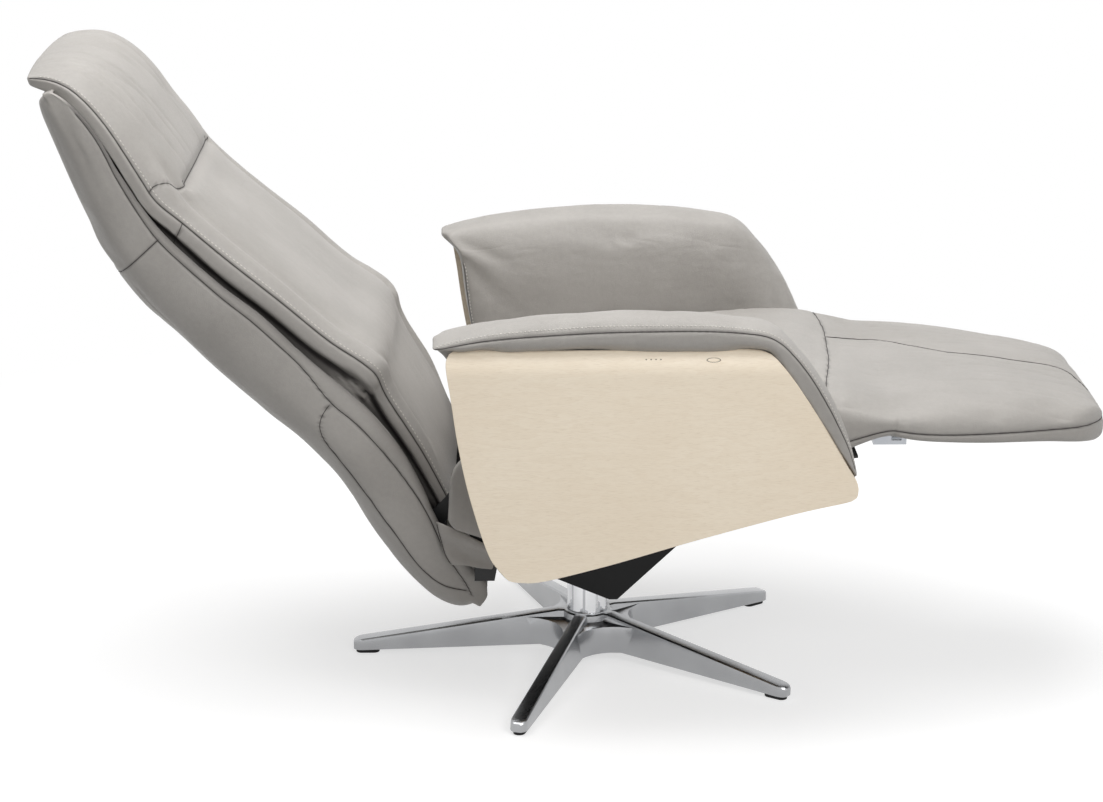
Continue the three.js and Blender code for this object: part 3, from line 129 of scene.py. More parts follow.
class NodeBoard:
    """A material's nodes, added and wired in short calls."""

    def __init__(self, name: str) -> None:
        """Makes an empty material with a Principled shader.

        Args:
            name: The material's name.
        """
        self.material = bpy.data.materials.new(name)
        self.material.use_nodes = True
        self.tree = self.material.node_tree
        self.shader = self.tree.nodes["Principled BSDF"]
        self.place = self.add("ShaderNodeTexCoord").outputs["Object"]

    def add(self, kind: str, inputs: dict | None = None, **settings: object) -> bpy.types.Node:
        """Adds a node.

        Args:
            kind: The node's type.
            inputs: Outputs or plain values for its inputs, by name or number.
            **settings: Its properties by name.

        Returns:
            The new node.
        """
        node = self.tree.nodes.new(kind)
        for key, value in settings.items():
            setattr(node, key, value)
        for key, source in (inputs or {}).items():
            self.wire(source, node.inputs[key])
        return node

    def wire(self, source: object, target: bpy.types.NodeSocket) -> None:
        """Joins an output, or sets a plain value, to an input.

        Args:
            source: An output, or a number or colour.
            target: The input.
        """
        if isinstance(source, bpy.types.NodeSocket):
            self.tree.links.new(source, target)
        else:
            target.default_value = source

    def mapped(self, scale: Sequence[float], turn: Sequence[float] = (0, 0, 0)) -> bpy.types.NodeSocket:
        """Object coordinates, scaled and turned.

        Args:
            scale: The scale along each axis.
            turn: The turn about each axis, in radians.

        Returns:
            The mapped coordinates.
        """
        node = self.add("ShaderNodeMapping", {"Vector": self.place, "Scale": scale, "Rotation": turn})
        return node.outputs["Vector"]

    def noise(self, scale: float, detail: float = 3, vector: object = None) -> bpy.types.NodeSocket:
        """A noise value at a scale per metre.

        Args:
            scale: Features per metre.
            detail: Octaves.
            vector: The coordinates, or none for Object coordinates.

        Returns:
            The noise's value.
        """
        inputs = {"Vector": vector or self.place, "Scale": scale, "Detail": detail}
        return self.add("ShaderNodeTexNoise", inputs).outputs["Fac"]

    def cells(self, scale: float, feature: str = "DISTANCE_TO_EDGE") -> bpy.types.NodeSocket:
        """A cell pattern.

        Args:
            scale: Cells per metre.
            feature: What the pattern measures.

        Returns:
            The distance to the cells' edges.
        """
        node = self.add("ShaderNodeTexVoronoi", {"Vector": self.place, "Scale": scale}, feature=feature)
        return node.outputs["Distance"]

    def ramp(self, value: object, low: float, high: float) -> bpy.types.NodeSocket:
        """A value spread between two limits.

        Args:
            value: A number or an output.
            low: The value that becomes 0.
            high: The value that becomes 1.

        Returns:
            The spread value.
        """
        node = self.add("ShaderNodeMapRange", {"Value": value, "From Min": low, "From Max": high})
        return node.outputs["Result"]

    def blend(self, share: object, first: object, second: object) -> bpy.types.NodeSocket:
        """A colour between two.

        Args:
            share: 0 for the first colour, 1 for the second.
            first: A colour or an output.
            second: A colour or an output.

        Returns:
            The mixed colour.
        """
        node = self.add("ShaderNodeMix", {"Factor": share, "A": first, "B": second}, data_type="RGBA")
        return node.outputs["Result"]

    def sum(self, first: object, second: object, kind: str = "ADD") -> bpy.types.NodeSocket:
        """Two values put together.

        Args:
            first: A number or an output.
            second: A number or an output.
            kind: The Math node's operation.

        Returns:
            The result.
        """
        return self.add("ShaderNodeMath", {0: first, 1: second}, operation=kind).outputs[0]

    def part(self, value: object, share: float) -> bpy.types.NodeSocket:
        """A share of a value."""
        return self.sum(value, share, "MULTIPLY")

    def bump(self, height: object, distance: float, under: object = None) -> bpy.types.NodeSocket:
        """A bump of a height in metres, laid over another bump.

        Args:
            height: The height's pattern, 0 to 1.
            distance: The height of 1, in metres.
            under: The normal of the bump beneath.

        Returns:
            The bumped normal.
        """
        node = self.add("ShaderNodeBump", {"Distance": distance, "Height": height})
        if under is not None:
            self.wire(under, node.inputs["Normal"])
        return node.outputs["Normal"]

    def shader_level(self, name: str, value: float) -> None:
        """Sets one of the shader's own inputs."""
        self.shader.inputs[name].default_value = value

    def finish(
        self,
        colour: object,
        roughness: object,
        normal: object = None,
        metallic: float = 0.0,
    ) -> bpy.types.Material:
        """Wires the shader's main inputs.

        Args:
            colour: The base colour.
            roughness: The roughness.
            normal: The bumped normal.
            metallic: 1 for a metal.

        Returns:
            The material.
        """
        self.wire(colour, self.shader.inputs["Base Color"])
        self.wire(roughness, self.shader.inputs["Roughness"])
        if normal is not None:
            self.wire(normal, self.shader.inputs["Normal"])
        self.shader_level("Metallic", metallic)
        return self.material


@dataclass(frozen=True)
class Leather:
    """Soft, fine-grained upholstery leather with a pebble, pores and slight colour clouds.

    Attributes:
        pale: The colour of the lighter clouds.
        deep: The colour of the darker clouds.
        crease: The colour of the darker flecks, and of the painted shade in the seams, under the side strips
            and inside the shell's rim.
        cloud: Colour clouds per metre.
        mottle: Darker flecks per metre.
        soft: Soft dents per metre.
        pebble: Pebbles of the grain per metre.
        pore: Pores per metre.
        heights: The heights of dents, pebbles and pores, in metres.
        roughness: The roughness in the grain's valleys.
    """

    pale: Colour = tone(169, 165, 160)
    deep: Colour = tone(160, 156, 151)
    crease: Colour = tone(70, 66, 64)
    cloud: float = 9
    mottle: float = 160
    soft: float = 70
    pebble: float = 620
    pore: float = 1900
    heights: tuple[float, float, float] = (0.0006, 0.00016, 0.00008)
    roughness: float = 0.52

    def material(self) -> bpy.types.Material:
        """Builds the leather, with painted shade in the seams and hollows that the piece's own attribute
        marks.
        """
        board = NodeBoard("soft_grey_leather")
        dent, pebble, pore = self.heights
        clouds = board.ramp(board.noise(self.cloud, 4), 0.35, 0.65)
        seams = board.add("ShaderNodeAttribute", attribute_name="seam").outputs["Fac"]
        body = board.blend(clouds, self.pale, self.deep)
        mottle = board.ramp(board.noise(self.mottle, 2), 0.3, 0.7)
        body = board.blend(board.part(mottle, 0.06), body, self.crease)
        # The "seam" attribute paints shade: along the seams' lines, in the gap under the side strips and
        # inside the shell's rim.
        body = board.blend(seams, body, self.crease)
        grain = board.ramp(board.cells(self.pebble), 0.0, 0.3)
        fine = board.noise(self.pore, 2)
        lifted = board.bump(board.noise(self.soft, 3), dent)
        lifted = board.bump(grain, pebble, lifted)
        lifted = board.bump(fine, pore, lifted)
        rough = board.sum(board.part(grain, -0.09), self.roughness)
        board.shader_level("Specular IOR Level", 0.45)
        board.shader_level("Sheen Weight", 0.06)
        board.shader_level("Sheen Roughness", 0.5)
        return board.finish(body, rough, lifted)


@dataclass(frozen=True)
class ThreadAndSeamShade:
    """Twisted sewing thread for the pale topstitching; its dark copy, sunk in the seams, is painted shade
    that stands for the seam's gap.

    Attributes:
        name: The material's name.
        colour: The thread's colour.
        shade: The colour between its strands.
        twist: Strands per metre.
        height: The strands' height, in metres.
        roughness: The roughness.
    """

    name: str
    colour: Colour
    shade: Colour
    twist: float
    height: float
    roughness: float

    def material(self) -> bpy.types.Material:
        """Builds the thread with a fine twist."""
        board = NodeBoard(self.name)
        twist = board.ramp(board.noise(self.twist, 2), 0.3, 0.7)
        colour = board.blend(twist, self.colour, self.shade)
        return board.finish(colour, self.roughness, board.bump(twist, self.height))


@dataclass(frozen=True)
class Veneer:
    """Pale birch veneer, its grain along the panel, with cathedral figure and ply lines on the edges.

    Attributes:
        light: The colour of the early wood.
        dark: The colour of the late wood.
        line: The colour of the pores and of the dark ply.
        roughness: The satin lacquer's roughness.
    """

    light: Colour = tone(253, 240, 219)
    dark: Colour = tone(244, 228, 204)
    line: Colour = tone(196, 172, 140)
    roughness: float = 0.4

    def material(self) -> bpy.types.Material:
        """Builds the veneer; the attribute "ply" marks the edge's layers."""
        board = NodeBoard("birch_veneer_satin")
        long = board.mapped((2.2, 14, 14), (0, math.radians(3), 0))
        figure = board.noise(2.4, 4, long)
        waves = board.add("ShaderNodeMath", {0: board.part(figure, 9)}, operation="FRACT")
        arch = board.ramp(waves.outputs[0], 0.0, 0.9)
        pores = board.ramp(board.noise(11, 5, board.mapped((9, 150, 150))), 0.52, 0.75)
        cloud = board.ramp(board.noise(5, 3), 0.3, 0.7)
        body = board.blend(board.part(cloud, 0.55), self.light, self.dark)
        body = board.blend(board.part(arch, 0.4), body, self.dark)
        body = board.blend(board.part(pores, 0.3), body, self.line)
        layers = board.add("ShaderNodeAttribute", attribute_name="ply").outputs["Fac"]
        body = board.blend(layers, body, self.line)
        raised = board.bump(pores, 0.00008)
        board.shader_level("Coat Weight", 0.15)
        board.shader_level("Coat Roughness", 0.35)
        return board.finish(body, board.sum(board.part(pores, 0.12), self.roughness), raised)


@dataclass(frozen=True)
class Plywood:
    """Raw plywood of the hidden frame."""

    def material(self) -> bpy.types.Material:
        """Builds raw plywood with a coarse grain."""
        board = NodeBoard("raw_plywood")
        grain = board.ramp(board.noise(6, 5, board.mapped((3, 3, 60))), 0.35, 0.7)
        colour = board.blend(grain, tone(206, 178, 138), tone(176, 145, 104))
        return board.finish(colour, 0.75, board.bump(grain, 0.0003))


@dataclass(frozen=True)
class Metal:
    """A metal finish, with fine scratches along one direction and a faint cloud in its gloss.

    Attributes:
        name: The material's name.
        colour: The metal's colour.
        roughness: The roughness of its brightest places.
        spread: How much rougher its dullest places are.
        scratch: Scratches per metre along each axis.
        depth: The scratches' depth, in metres.
        clouded: How bright the duller clouds are.
        metallic: 1 for bare metal.
    """

    name: str
    colour: Colour
    roughness: float
    spread: float
    scratch: tuple[float, float, float] = (40, 900, 900)
    depth: float = 0.00001
    clouded: float = 0.86
    metallic: float = 1.0

    def material(self) -> bpy.types.Material:
        """Builds the metal."""
        board = NodeBoard(self.name)
        lines = board.noise(3, 3, board.mapped(self.scratch))
        cloud = board.noise(14, 3)
        mixed = board.sum(board.part(lines, 0.5), board.part(cloud, 0.5))
        rough = board.sum(board.part(mixed, self.spread), self.roughness)
        shade = (*(c * self.clouded for c in self.colour[:3]), 1.0)
        body = board.blend(board.ramp(cloud, 0.3, 0.7), self.colour, shade)
        return board.finish(body, rough, board.bump(lines, self.depth), self.metallic)


@dataclass(frozen=True)
class MouldedPlastic:
    """Moulded plastic or lining cloth with a fine texture and a trace of dust.

    Attributes:
        name: The material's name.
        colour: The colour.
        roughness: The roughness.
        dust: The colour of the dust.
    """

    name: str
    colour: Colour
    roughness: float
    dust: Colour = tone(58, 58, 59)

    def material(self) -> bpy.types.Material:
        """Builds the plastic with a fine spark-eroded texture."""
        board = NodeBoard(self.name)
        grit = board.noise(1400, 2)
        dust = board.ramp(board.noise(30, 4), 0.4, 0.8)
        body = board.blend(board.part(dust, 0.1), self.colour, self.dust)
        board.shader_level("Specular IOR Level", 0.28)
        return board.finish(body, self.roughness, board.bump(grit, 0.00006))


@dataclass(frozen=True)
class Webbing:
    """Dark woven webbing of the spring deck.

    Attributes:
        threads: The weave's scale per metre.
    """

    threads: float = 60

    def material(self) -> bpy.types.Material:
        """Builds a plain weave."""
        board = NodeBoard("deck_webbing")
        bands = []
        inputs = {"Vector": board.place, "Scale": self.threads}
        for direction in ("X", "Y"):
            band = board.add("ShaderNodeTexWave", inputs, wave_type="BANDS", bands_direction=direction)
            bands.append(band.outputs["Fac"])
        cloth = board.sum(bands[0], bands[1], "MULTIPLY")
        colour = board.blend(cloth, tone(30, 30, 31), tone(62, 61, 60))
        return board.finish(colour, 0.85, board.bump(cloth, 0.0005))


class Finishes:
    """Every finish of the chair, made once."""

    def __init__(self) -> None:
        """Makes the materials."""
        self.leather = Leather().material()
        # A dark tube in each shown seam: painted shade that stands for the seam's gap.
        self.seam = ThreadAndSeamShade("painted_seam_shade", tone(52, 49, 48), tone(70, 66, 64), 900, 0.0002, 0.8).material()
        self.thread = ThreadAndSeamShade(
            "pale_thread", tone(226, 222, 215), tone(204, 200, 193), 2600, 0.0001, 0.65
        ).material()
        self.veneer = Veneer().material()
        self.lining = MouldedPlastic("dark_lining_cloth", tone(34, 32, 31), 0.85).material()
        self.touch = MouldedPlastic("touch_mark", tone(136, 124, 107), 0.5).material()
        self.by_slot = {
            Slot.ALUMINIUM: Metal("polished_aluminium_satin", tone(176, 177, 179), 0.16, 0.16).material(),
            Slot.CHROME: Metal("bright_chrome", tone(232, 233, 235), 0.04, 0.05, (900, 900, 20)).material(),
            Slot.LEATHER: self.leather,
            Slot.VENEER: self.veneer,
            Slot.PLYWOOD: Plywood().material(),
            Slot.BLACK_PLASTIC: MouldedPlastic("black_moulding", tone(13, 13, 14), 0.5).material(),
            Slot.BLACK_STEEL: Metal("black_powder_coat", tone(20, 20, 21), 0.5, 0.1, metallic=0.1).material(),
            Slot.ZINC: Metal("zinc_plated", tone(186, 189, 194), 0.28, 0.2).material(),
            Slot.BRONZE: Metal("sintered_bronze", tone(188, 150, 98), 0.34, 0.15).material(),
            Slot.WEBBING: Webbing().material(),
        }

    def dress_frame(self) -> None:
        """Gives every CAD node the finish of its slot, and dark lining cloth to two boards."""
        rows = frame["record"]["subparts"]
        dressed = {row["node"]: self.by_slot[Slot(row["material_slot"])] for row in rows}
        dressed.update(dict.fromkeys(LINED_NODES, self.lining))
        for name, material in dressed.items():
            slots = frame["nodes"][name].data.materials
            slots.clear()
            slots.append(material)


class Line:
    """A smooth line through points, read by shares of its length."""

    def __init__(self, points: Points, lead: int = 2) -> None:
        """Lays the line.

        Args:
            points: Points of two or more numbers each.
            lead: How many of the numbers count for the length.
        """
        knots = np.array(points, float)
        steps = np.sqrt(np.linalg.norm(np.diff(knots[:, :lead], axis=0), axis=1))
        times = np.concatenate([[0], np.cumsum(np.maximum(steps, 1e-6))])
        slopes = np.gradient(knots, times, axis=0)
        shares = np.linspace(0, 1, 25)[:, None]
        parts = []
        for i, span in enumerate(np.diff(times)):
            s2, s3 = shares**2, shares**3
            parts.append(
                (2 * s3 - 3 * s2 + 1) * knots[i]
                + (s3 - 2 * s2 + shares) * span * slopes[i]
                + (3 * s2 - 2 * s3) * knots[i + 1]
                + (s3 - s2) * span * slopes[i + 1]
            )
        self.samples = np.concatenate(parts)
        lengths = np.linalg.norm(np.diff(self.samples[:, :lead], axis=0), axis=1)
        self.reach = np.concatenate([[0], np.cumsum(lengths)])
        self.length = float(self.reach[-1])

    def at(self, shares: object) -> Array:
        """Points of the line.

        Args:
            shares: One share of the length or several, from 0 to 1.

        Returns:
            A point for each share.
        """
        where = np.clip(np.atleast_1d(shares), 0, 1) * self.length
        columns = [np.interp(where, self.reach, column) for column in self.samples.T]
        return np.stack(columns, axis=-1)

    def share_near(self, point: Sequence[float]) -> float:
        """The place on the line that is nearest to a point.

        Args:
            point: As many of the point's numbers as count.

        Returns:
            The share of the length there.
        """
        lead = len(point)
        nearest = np.argmin(np.linalg.norm(self.samples[:, :lead] - np.array(point), axis=1))
        return float(self.reach[nearest] / self.length)


@dataclass
class Patch:
    """A surface in X and Z between four lines that meet at their ends."""

    low: Line
    high: Line
    rear: Line
    front: Line

    def at(self, along: Array, up: Array) -> Array:
        """Points of the patch.

        Args:
            along: Shares from the rear line to the front line.
            up: Shares from the low line to the high line.

        Returns:
            Points in X and Z.
        """
        s, c = along[:, None], up[:, None]
        corners = [line.at(end) for line in (self.low, self.high) for end in (0, 1)]
        flat = (1 - s) * (1 - c) * corners[0] + s * (1 - c) * corners[1]
        flat = flat + (1 - s) * c * corners[2] + s * c * corners[3]
        ruled = (1 - c) * self.low.at(along) + c * self.high.at(along)
        return ruled + (1 - s) * self.rear.at(up) + s * self.front.at(up) - flat


def smooth(values: object, low: float, high: float) -> Array:
    """A smooth step from 0 at low to 1 at high."""
    share = np.clip((np.asarray(values, float) - low) / (high - low), 0, 1)
    return share * share * (3 - 2 * share)


def ticks(length: float, cell: float, edge: Sequence[float], marks: Sequence[float] = ()) -> Array:
    """Places of the grid lines of a box along one axis.

    Args:
        length: The box's length.
        cell: The usual distance between lines.
        edge: Distances from each end at which close lines lie.
        marks: Places of seams, which get a line and close ones beside it.

    Returns:
        The sorted places, from 0 to length.
    """
    fixed = {0.0, float(length)}
    for e in edge:
        fixed |= {float(e), float(length - e)}
    for mark in marks:
        fixed |= {mark + d for d in (-7, -3, 0, 3, 7) if 0 < mark + d < length}
    kept: list[float] = []
    for value in sorted(fixed):
        if not kept or value - kept[-1] > 1.2:
            kept.append(value)
    if kept[-1] < length:
        kept[-1] = float(length)
    out = [0.0]
    for low, high in zip(kept, kept[1:]):
        count = max(1, round((high - low) / cell))
        out += [low + (high - low) * (i + 1) / count for i in range(count)]
    return np.array(out)


def ticked_box(places: Sequence[Array]) -> tuple[bmesh.types.BMesh, Array]:
    """A closed box of quads whose grid lines lie at the given places.

    Args:
        places: The places along X, Y and Z.

    Returns:
        The mesh, and each vertex's place.
    """
    bm = bmesh.new()
    turns = {
        0: Matrix.Rotation(math.pi / 2, 4, "Y"),
        1: Matrix.Rotation(-math.pi / 2, 4, "X"),
        2: Matrix.Identity(4),
    }
    across = {0: (2, 1), 1: (0, 2), 2: (0, 1)}
    for axis, side in product(range(3), (-1, 1)):
        first, second = across[axis]
        offset = Vector((0, 0, 0))
        offset[axis] = side
        bmesh.ops.create_grid(
            bm,
            x_segments=len(places[first]) - 1,
            y_segments=len(places[second]) - 1,
            size=1.0,
            matrix=Matrix.Translation(offset) @ turns[axis],
        )
    bmesh.ops.remove_doubles(bm, verts=bm.verts, dist=1e-5)
    bmesh.ops.recalc_face_normals(bm, faces=bm.faces)
    cube = np.array([v.co for v in bm.verts])
    flat = np.empty_like(cube)
    for axis, line in enumerate(places):
        index = np.rint((cube[:, axis] + 1) / 2 * (len(line) - 1)).astype(int)
        flat[:, axis] = line[index]
    return bm, flat


def rounded(flat: Array, size: Sequence[float], low: Sequence[float], high: Sequence[float]) -> Array:
    """Rounds a box's edges.

    Args:
        flat: Points on the box's surface.
        size: The box's size.
        low: The radii along each axis in the lower half.
        high: The radii along each axis in the upper half.

    Returns:
        The rounded points.
    """
    half = np.array(size, float) / 2
    centred = flat - half
    radii = np.where(centred[:, 2:3] > 0, np.array(high, float), np.array(low, float))
    radii = np.minimum(radii, half)
    inner = np.clip(centred, -(half - radii), half - radii)
    part = (centred - inner) / radii
    reach = np.maximum(np.linalg.norm(part, axis=1, keepdims=True), 1e-9)
    biggest = np.maximum(np.abs(part).max(axis=1, keepdims=True), 1e-9)
    return half + inner + radii * part / reach * biggest


def make_object(name: str, bm: bmesh.types.BMesh, points: Array | None = None) -> bpy.types.Object:
    """A mesh object in the scene.

    Args:
        name: The object's name.
        bm: The mesh, which is freed.
        points: New places of its vertices in millimetres, or none.

    Returns:
        The object, at the origin.
    """
    mesh = bpy.data.meshes.new(name)
    bm.to_mesh(mesh)
    bm.free()
    if points is not None:
        mesh.vertices.foreach_set("co", (points * MM).astype(np.float32).ravel())
    mesh.update()
    made = bpy.data.objects.new(name, mesh)
    bpy.context.scene.collection.objects.link(made)
    return made


def unit(rows: Array, least: float = 1e-6) -> Array:
    """Rows of vectors at a length of 1."""
    return rows / np.maximum(np.linalg.norm(rows, axis=1, keepdims=True), least)


def eased(values: Array) -> Array:
    """A row of values, each drawn to the mean of its neighbours, with its ends kept."""
    values[1:-1] = (values[:-2] + 2 * values[1:-1] + values[2:]) / 4
    return values


def turn_outwards(mesh: bpy.types.Mesh) -> None:
    """Turns a closed mesh's faces outwards, where a bend has mirrored it.

    Args:
        mesh: The mesh.
    """
    bm = bmesh.new()
    bm.from_mesh(mesh)
    if bm.calc_volume(signed=True) < 0:
        bmesh.ops.reverse_faces(bm, faces=bm.faces)
        bm.to_mesh(mesh)
        mesh.update()
    bm.free()


def place_of(mesh: bpy.types.Mesh) -> Array:
    """The vertices' places.

    Args:
        mesh: The mesh.

    Returns:
        A place in millimetres for each vertex.
    """
    co = np.empty(len(mesh.vertices) * 3, np.float32)
    mesh.vertices.foreach_get("co", co)
    return co.reshape(-1, 3).astype(float) / MM


def normals_of(mesh: bpy.types.Mesh) -> Array:
    """The vertices' normals.

    Args:
        mesh: The mesh.

    Returns:
        A unit vector for each vertex.
    """
    out = np.empty(len(mesh.vertices) * 3, np.float32)
    mesh.vertex_normals.foreach_get("vector", out)
    return out.reshape(-1, 3).astype(float)


def shade_smooth(piece: bpy.types.Object, degrees: float | None = None) -> None:
    """Shades a mesh smooth.

    Args:
        piece: The mesh's object.
        degrees: The angle past which an edge stays sharp, or none.
    """
    piece.data.shade_smooth()
    if degrees is not None:
        piece.data.set_sharp_from_angle(angle=math.radians(degrees))


def dense(flat: Points, step: float) -> Array:
    """A line through points, with a point every few millimetres.

    Args:
        flat: The line's points.
        step: The distance between the new points.

    Returns:
        The new points.
    """
    knots = np.asarray(flat, float)
    out = [knots[:1]]
    for first, last in zip(knots, knots[1:]):
        count = max(1, int(np.linalg.norm(last - first) / step))
        out.append(first + (last - first) * (np.arange(1, count + 1) / count)[:, None])
    return np.concatenate(out)


def tree_of(points: Array) -> KDTree:
    """A search tree of points.

    Args:
        points: The points.

    Returns:
        The balanced tree.
    """
    tree = KDTree(len(points))
    for i, point in enumerate(points):
        tree.insert(point, i)
    tree.balance()
    return tree


def set_places(mesh: bpy.types.Mesh, points: Array) -> None:
    """Moves a mesh's vertices to places in millimetres."""
    mesh.vertices.foreach_set("co", (points * MM).astype(np.float32).ravel())
    mesh.update()


def surface_tree(places: Array, polygons: Sequence[Sequence[int]]) -> BVHTree:
    """A search tree of a surface's faces."""
    return BVHTree.FromPolygons([Vector(place) for place in places], polygons)


def mark_points(mesh: bpy.types.Mesh, name: str, values: Array) -> None:
    """Keeps a value for each vertex, which a material reads."""
    attribute = mesh.attributes.new(name, "FLOAT", "POINT")
    attribute.data.foreach_set("value", values.astype(np.float32))


def finish_surface(piece: bpy.types.Object, levels: int) -> None:
    """Smooths a piece by subdivision, as part of its mesh.

    Args:
        piece: The piece.
        levels: How often its faces are divided.
    """
    smoother = piece.modifiers.new("smooth", "SUBSURF")
    smoother.levels = levels
    smoother.render_levels = levels
    graph = bpy.context.evaluated_depsgraph_get()
    mesh = bpy.data.meshes.new_from_object(piece.evaluated_get(graph))
    piece.modifiers.clear()
    piece.data = mesh


def merge(shells: Sequence[bmesh.types.BMesh]) -> bmesh.types.BMesh:
    """Puts several shells into one.

    Args:
        shells: The shells, which are freed.

    Returns:
        One mesh of them all.
    """
    whole = bmesh.new()
    scratch = bpy.data.meshes.new("scratch")
    for bm in shells:
        bm.to_mesh(scratch)
        bm.free()
        whole.from_mesh(scratch)
    bpy.data.meshes.remove(scratch)
    return whole


def join_into(
    mesh: bpy.types.Mesh,
    shells: Sequence[bmesh.types.BMesh],
    material: bpy.types.Material,
) -> None:
    """Adds further shells to a piece's mesh, with a material of their own.

    Args:
        mesh: The piece's mesh.
        shells: The shells in metres, which are freed. If there are none, nothing is added.
        material: Their material.
    """
    if not shells:
        return
    mesh.materials.append(material)
    for bm in shells:
        for face in bm.faces:
            face.material_index = len(mesh.materials) - 1
            face.smooth = True
    piece = bmesh.new()
    piece.from_mesh(mesh)
    whole = merge([piece, *shells])
    whole.to_mesh(mesh)
    whole.free()
    mesh.update()


def steps_along(path: Array) -> tuple[Array, Array]:
    """The unit directions along a path's points, and the lengths of its steps."""
    return unit(np.gradient(path, axis=0), 1e-9), np.linalg.norm(np.diff(path, axis=0), axis=1)


def tube_mesh(
    path: Array,
    normals: Array,
    radius: float,
    sides: int = 5,
    tip: float = 0.2,
) -> bmesh.types.BMesh:
    """A thin closed tube along a path.

    Args:
        path: The tube's middle line, in millimetres.
        normals: The surface's normals along it.
        radius: The tube's radius.
        sides: The tube's sides.
        tip: The share of the radius at its two ends.

    Returns:
        The tube's mesh in metres.
    """
    bm = bmesh.new()
    bmesh.ops.create_grid(bm, x_segments=sides, y_segments=len(path) - 1, size=1.0)
    along, _ = steps_along(path)
    across = unit(np.cross(along, normals), 1e-9)
    for i, vertex in enumerate(bm.verts):
        row, side = divmod(i, sides + 1)
        angle = 2 * math.pi * side / sides
        inset = tip if row in (0, len(path) - 1) else 1.0
        offset = math.cos(angle) * across[row] + math.sin(angle) * normals[row]
        vertex.co = Vector((path[row] + radius * inset * offset) * MM)
    bmesh.ops.remove_doubles(bm, verts=bm.verts, dist=1e-6)
    bmesh.ops.holes_fill(bm, edges=[e for e in bm.edges if e.is_boundary], sides=sides + 1)
    bmesh.ops.recalc_face_normals(bm, faces=bm.faces)
    return bm


def stitch_mesh(
    path: Array,
    normals: Array,
    pitch: float,
    lift: float = 0.25,
    half: tuple[float, float, float] = (0.33, 0.8, 0.6),
) -> bmesh.types.BMesh:
    """A row of low-poly stitches along a path.

    Args:
        path: The row's line, in millimetres.
        normals: The surface's normals along it.
        pitch: The distance from stitch to stitch.
        lift: How far the stitches' middles stand above the surface.
        half: Half a stitch's length as a share of the pitch, half its width and half its height.

    Returns:
        The stitches' mesh in metres.
    """
    bm = bmesh.new()
    along, steps = steps_along(path)
    reach = np.concatenate([[0], np.cumsum(steps)])
    for where in np.arange(pitch, reach[-1] - pitch / 2, pitch):
        i = min(int(np.searchsorted(reach, where)), len(path) - 1)
        place = [np.interp(where, reach, path[:, k]) for k in range(3)]
        x_axis = Vector(along[i]).normalized()
        z_axis = Vector(normals[i]).normalized()
        y_axis = z_axis.cross(x_axis).normalized()
        turn = Matrix((x_axis, y_axis, x_axis.cross(y_axis))).transposed().to_4x4()
        middle = Vector(place) + lift * z_axis
        size = Matrix.Diagonal((pitch * half[0], half[1], half[2], 1))
        matrix = Matrix.Translation(middle * MM) @ turn @ size @ Matrix.Scale(MM, 4)
        bmesh.ops.create_icosphere(bm, subdivisions=1, radius=1.0, matrix=matrix)
    return bm


def nearest_on(tree: BVHTree, points: Array) -> tuple[Array, Array]:
    """The nearest places of a surface to points, and its normals there."""
    hits = [tree.find_nearest(Vector(point)) for point in points]
    return np.array([hit[0] for hit in hits]), np.array([hit[1] for hit in hits])


@dataclass
class Seam:
    """A sewn line on a soft piece.

    Attributes:
        flat: Points of the line on the piece's flat box.
        depth: How deep the seam pulls in.
        width: How wide the pulled-in valley is.
        shown: Whether it gets a line of painted shade: darker leather along it and a dark tube sunk in it.
        holds: Whether it holds the leather while it puffs.
    """

    flat: Points
    depth: float = 1.5
    width: float = 2.2
    shown: bool = True
    holds: bool = True


@dataclass
class Stitching:
    """A row of topstitches, along points on a soft piece's flat box."""

    flat: Points
    pitch: float = 5.0


@dataclass
class Bend:
    """Bends a flat box along two lines.

    Attributes:
        rows: For places along the piece: the top's X and Z, the bottom's X and Z, half the width, and how far
            the middle of the top stands above its edges.
        size: The flat box's size.
        extra: Moves points further: it gets shares along, across and up, and the points.
        fullness: How far out the crown stays high before it falls to the edges.
    """

    rows: Line
    size: tuple[float, float, float]
    extra: Callable[[Array, Array, Array, Array], Array] | None = None
    fullness: float = 2.6

    def __call__(self, flat: Array) -> Array:
        """Places flat points in the chair's frame.

        Args:
            flat: The points on the flat box.

        Returns:
            Their places.
        """
        along = flat[:, 0] / self.size[0]
        across = flat[:, 1] / self.size[1] * 2 - 1
        up = flat[:, 2] / self.size[2]
        row = self.rows.at(along)
        rise = row[:, 0:2] - row[:, 2:4]
        lift = row[:, 5] * (1 - np.abs(across) ** self.fullness) * smooth(up, 0.4, 1)
        plane = row[:, 2:4] + rise * up[:, None] + unit(rise) * lift[:, None]
        points = np.stack([plane[:, 0], across * row[:, 4], plane[:, 1]], axis=1)
        return points if self.extra is None else self.extra(along, across, up, points)

    def find(self, place: Sequence[float], count: int = 900) -> tuple[float, float]:
        """Finds a place, seen from the side, on the flat box.

        Args:
            place: The place's X and Z.
            count: How many places along the box are tried.

        Returns:
            The flat box's X and Z there.
        """
        shares = np.linspace(0, 1, count)
        row = self.rows.at(shares)
        rise = row[:, 0:2] - row[:, 2:4]
        gap = np.array(place) - row[:, 2:4]
        up = np.clip((gap * rise).sum(axis=1) / np.maximum((rise**2).sum(axis=1), 1e-6), 0, 1)
        nearest = int(np.linalg.norm(gap - rise * up[:, None], axis=1).argmin())
        return float(shares[nearest]) * self.size[0], float(up[nearest]) * self.size[2]

    def trace(self, places: Points, count: int, rounds: int = 12) -> Array:
        """Finds a line, seen from the side, on the flat box.

        Args:
            places: The line's X and Z values.
            count: How many points it gets.
            rounds: How often it is eased.

        Returns:
            The flat box's X and Z along it.
        """
        found = np.array([self.find(place) for place in Line(list(places)).at(np.linspace(0, 1, count))])
        for _ in range(rounds):
            found = eased(found)
        return found


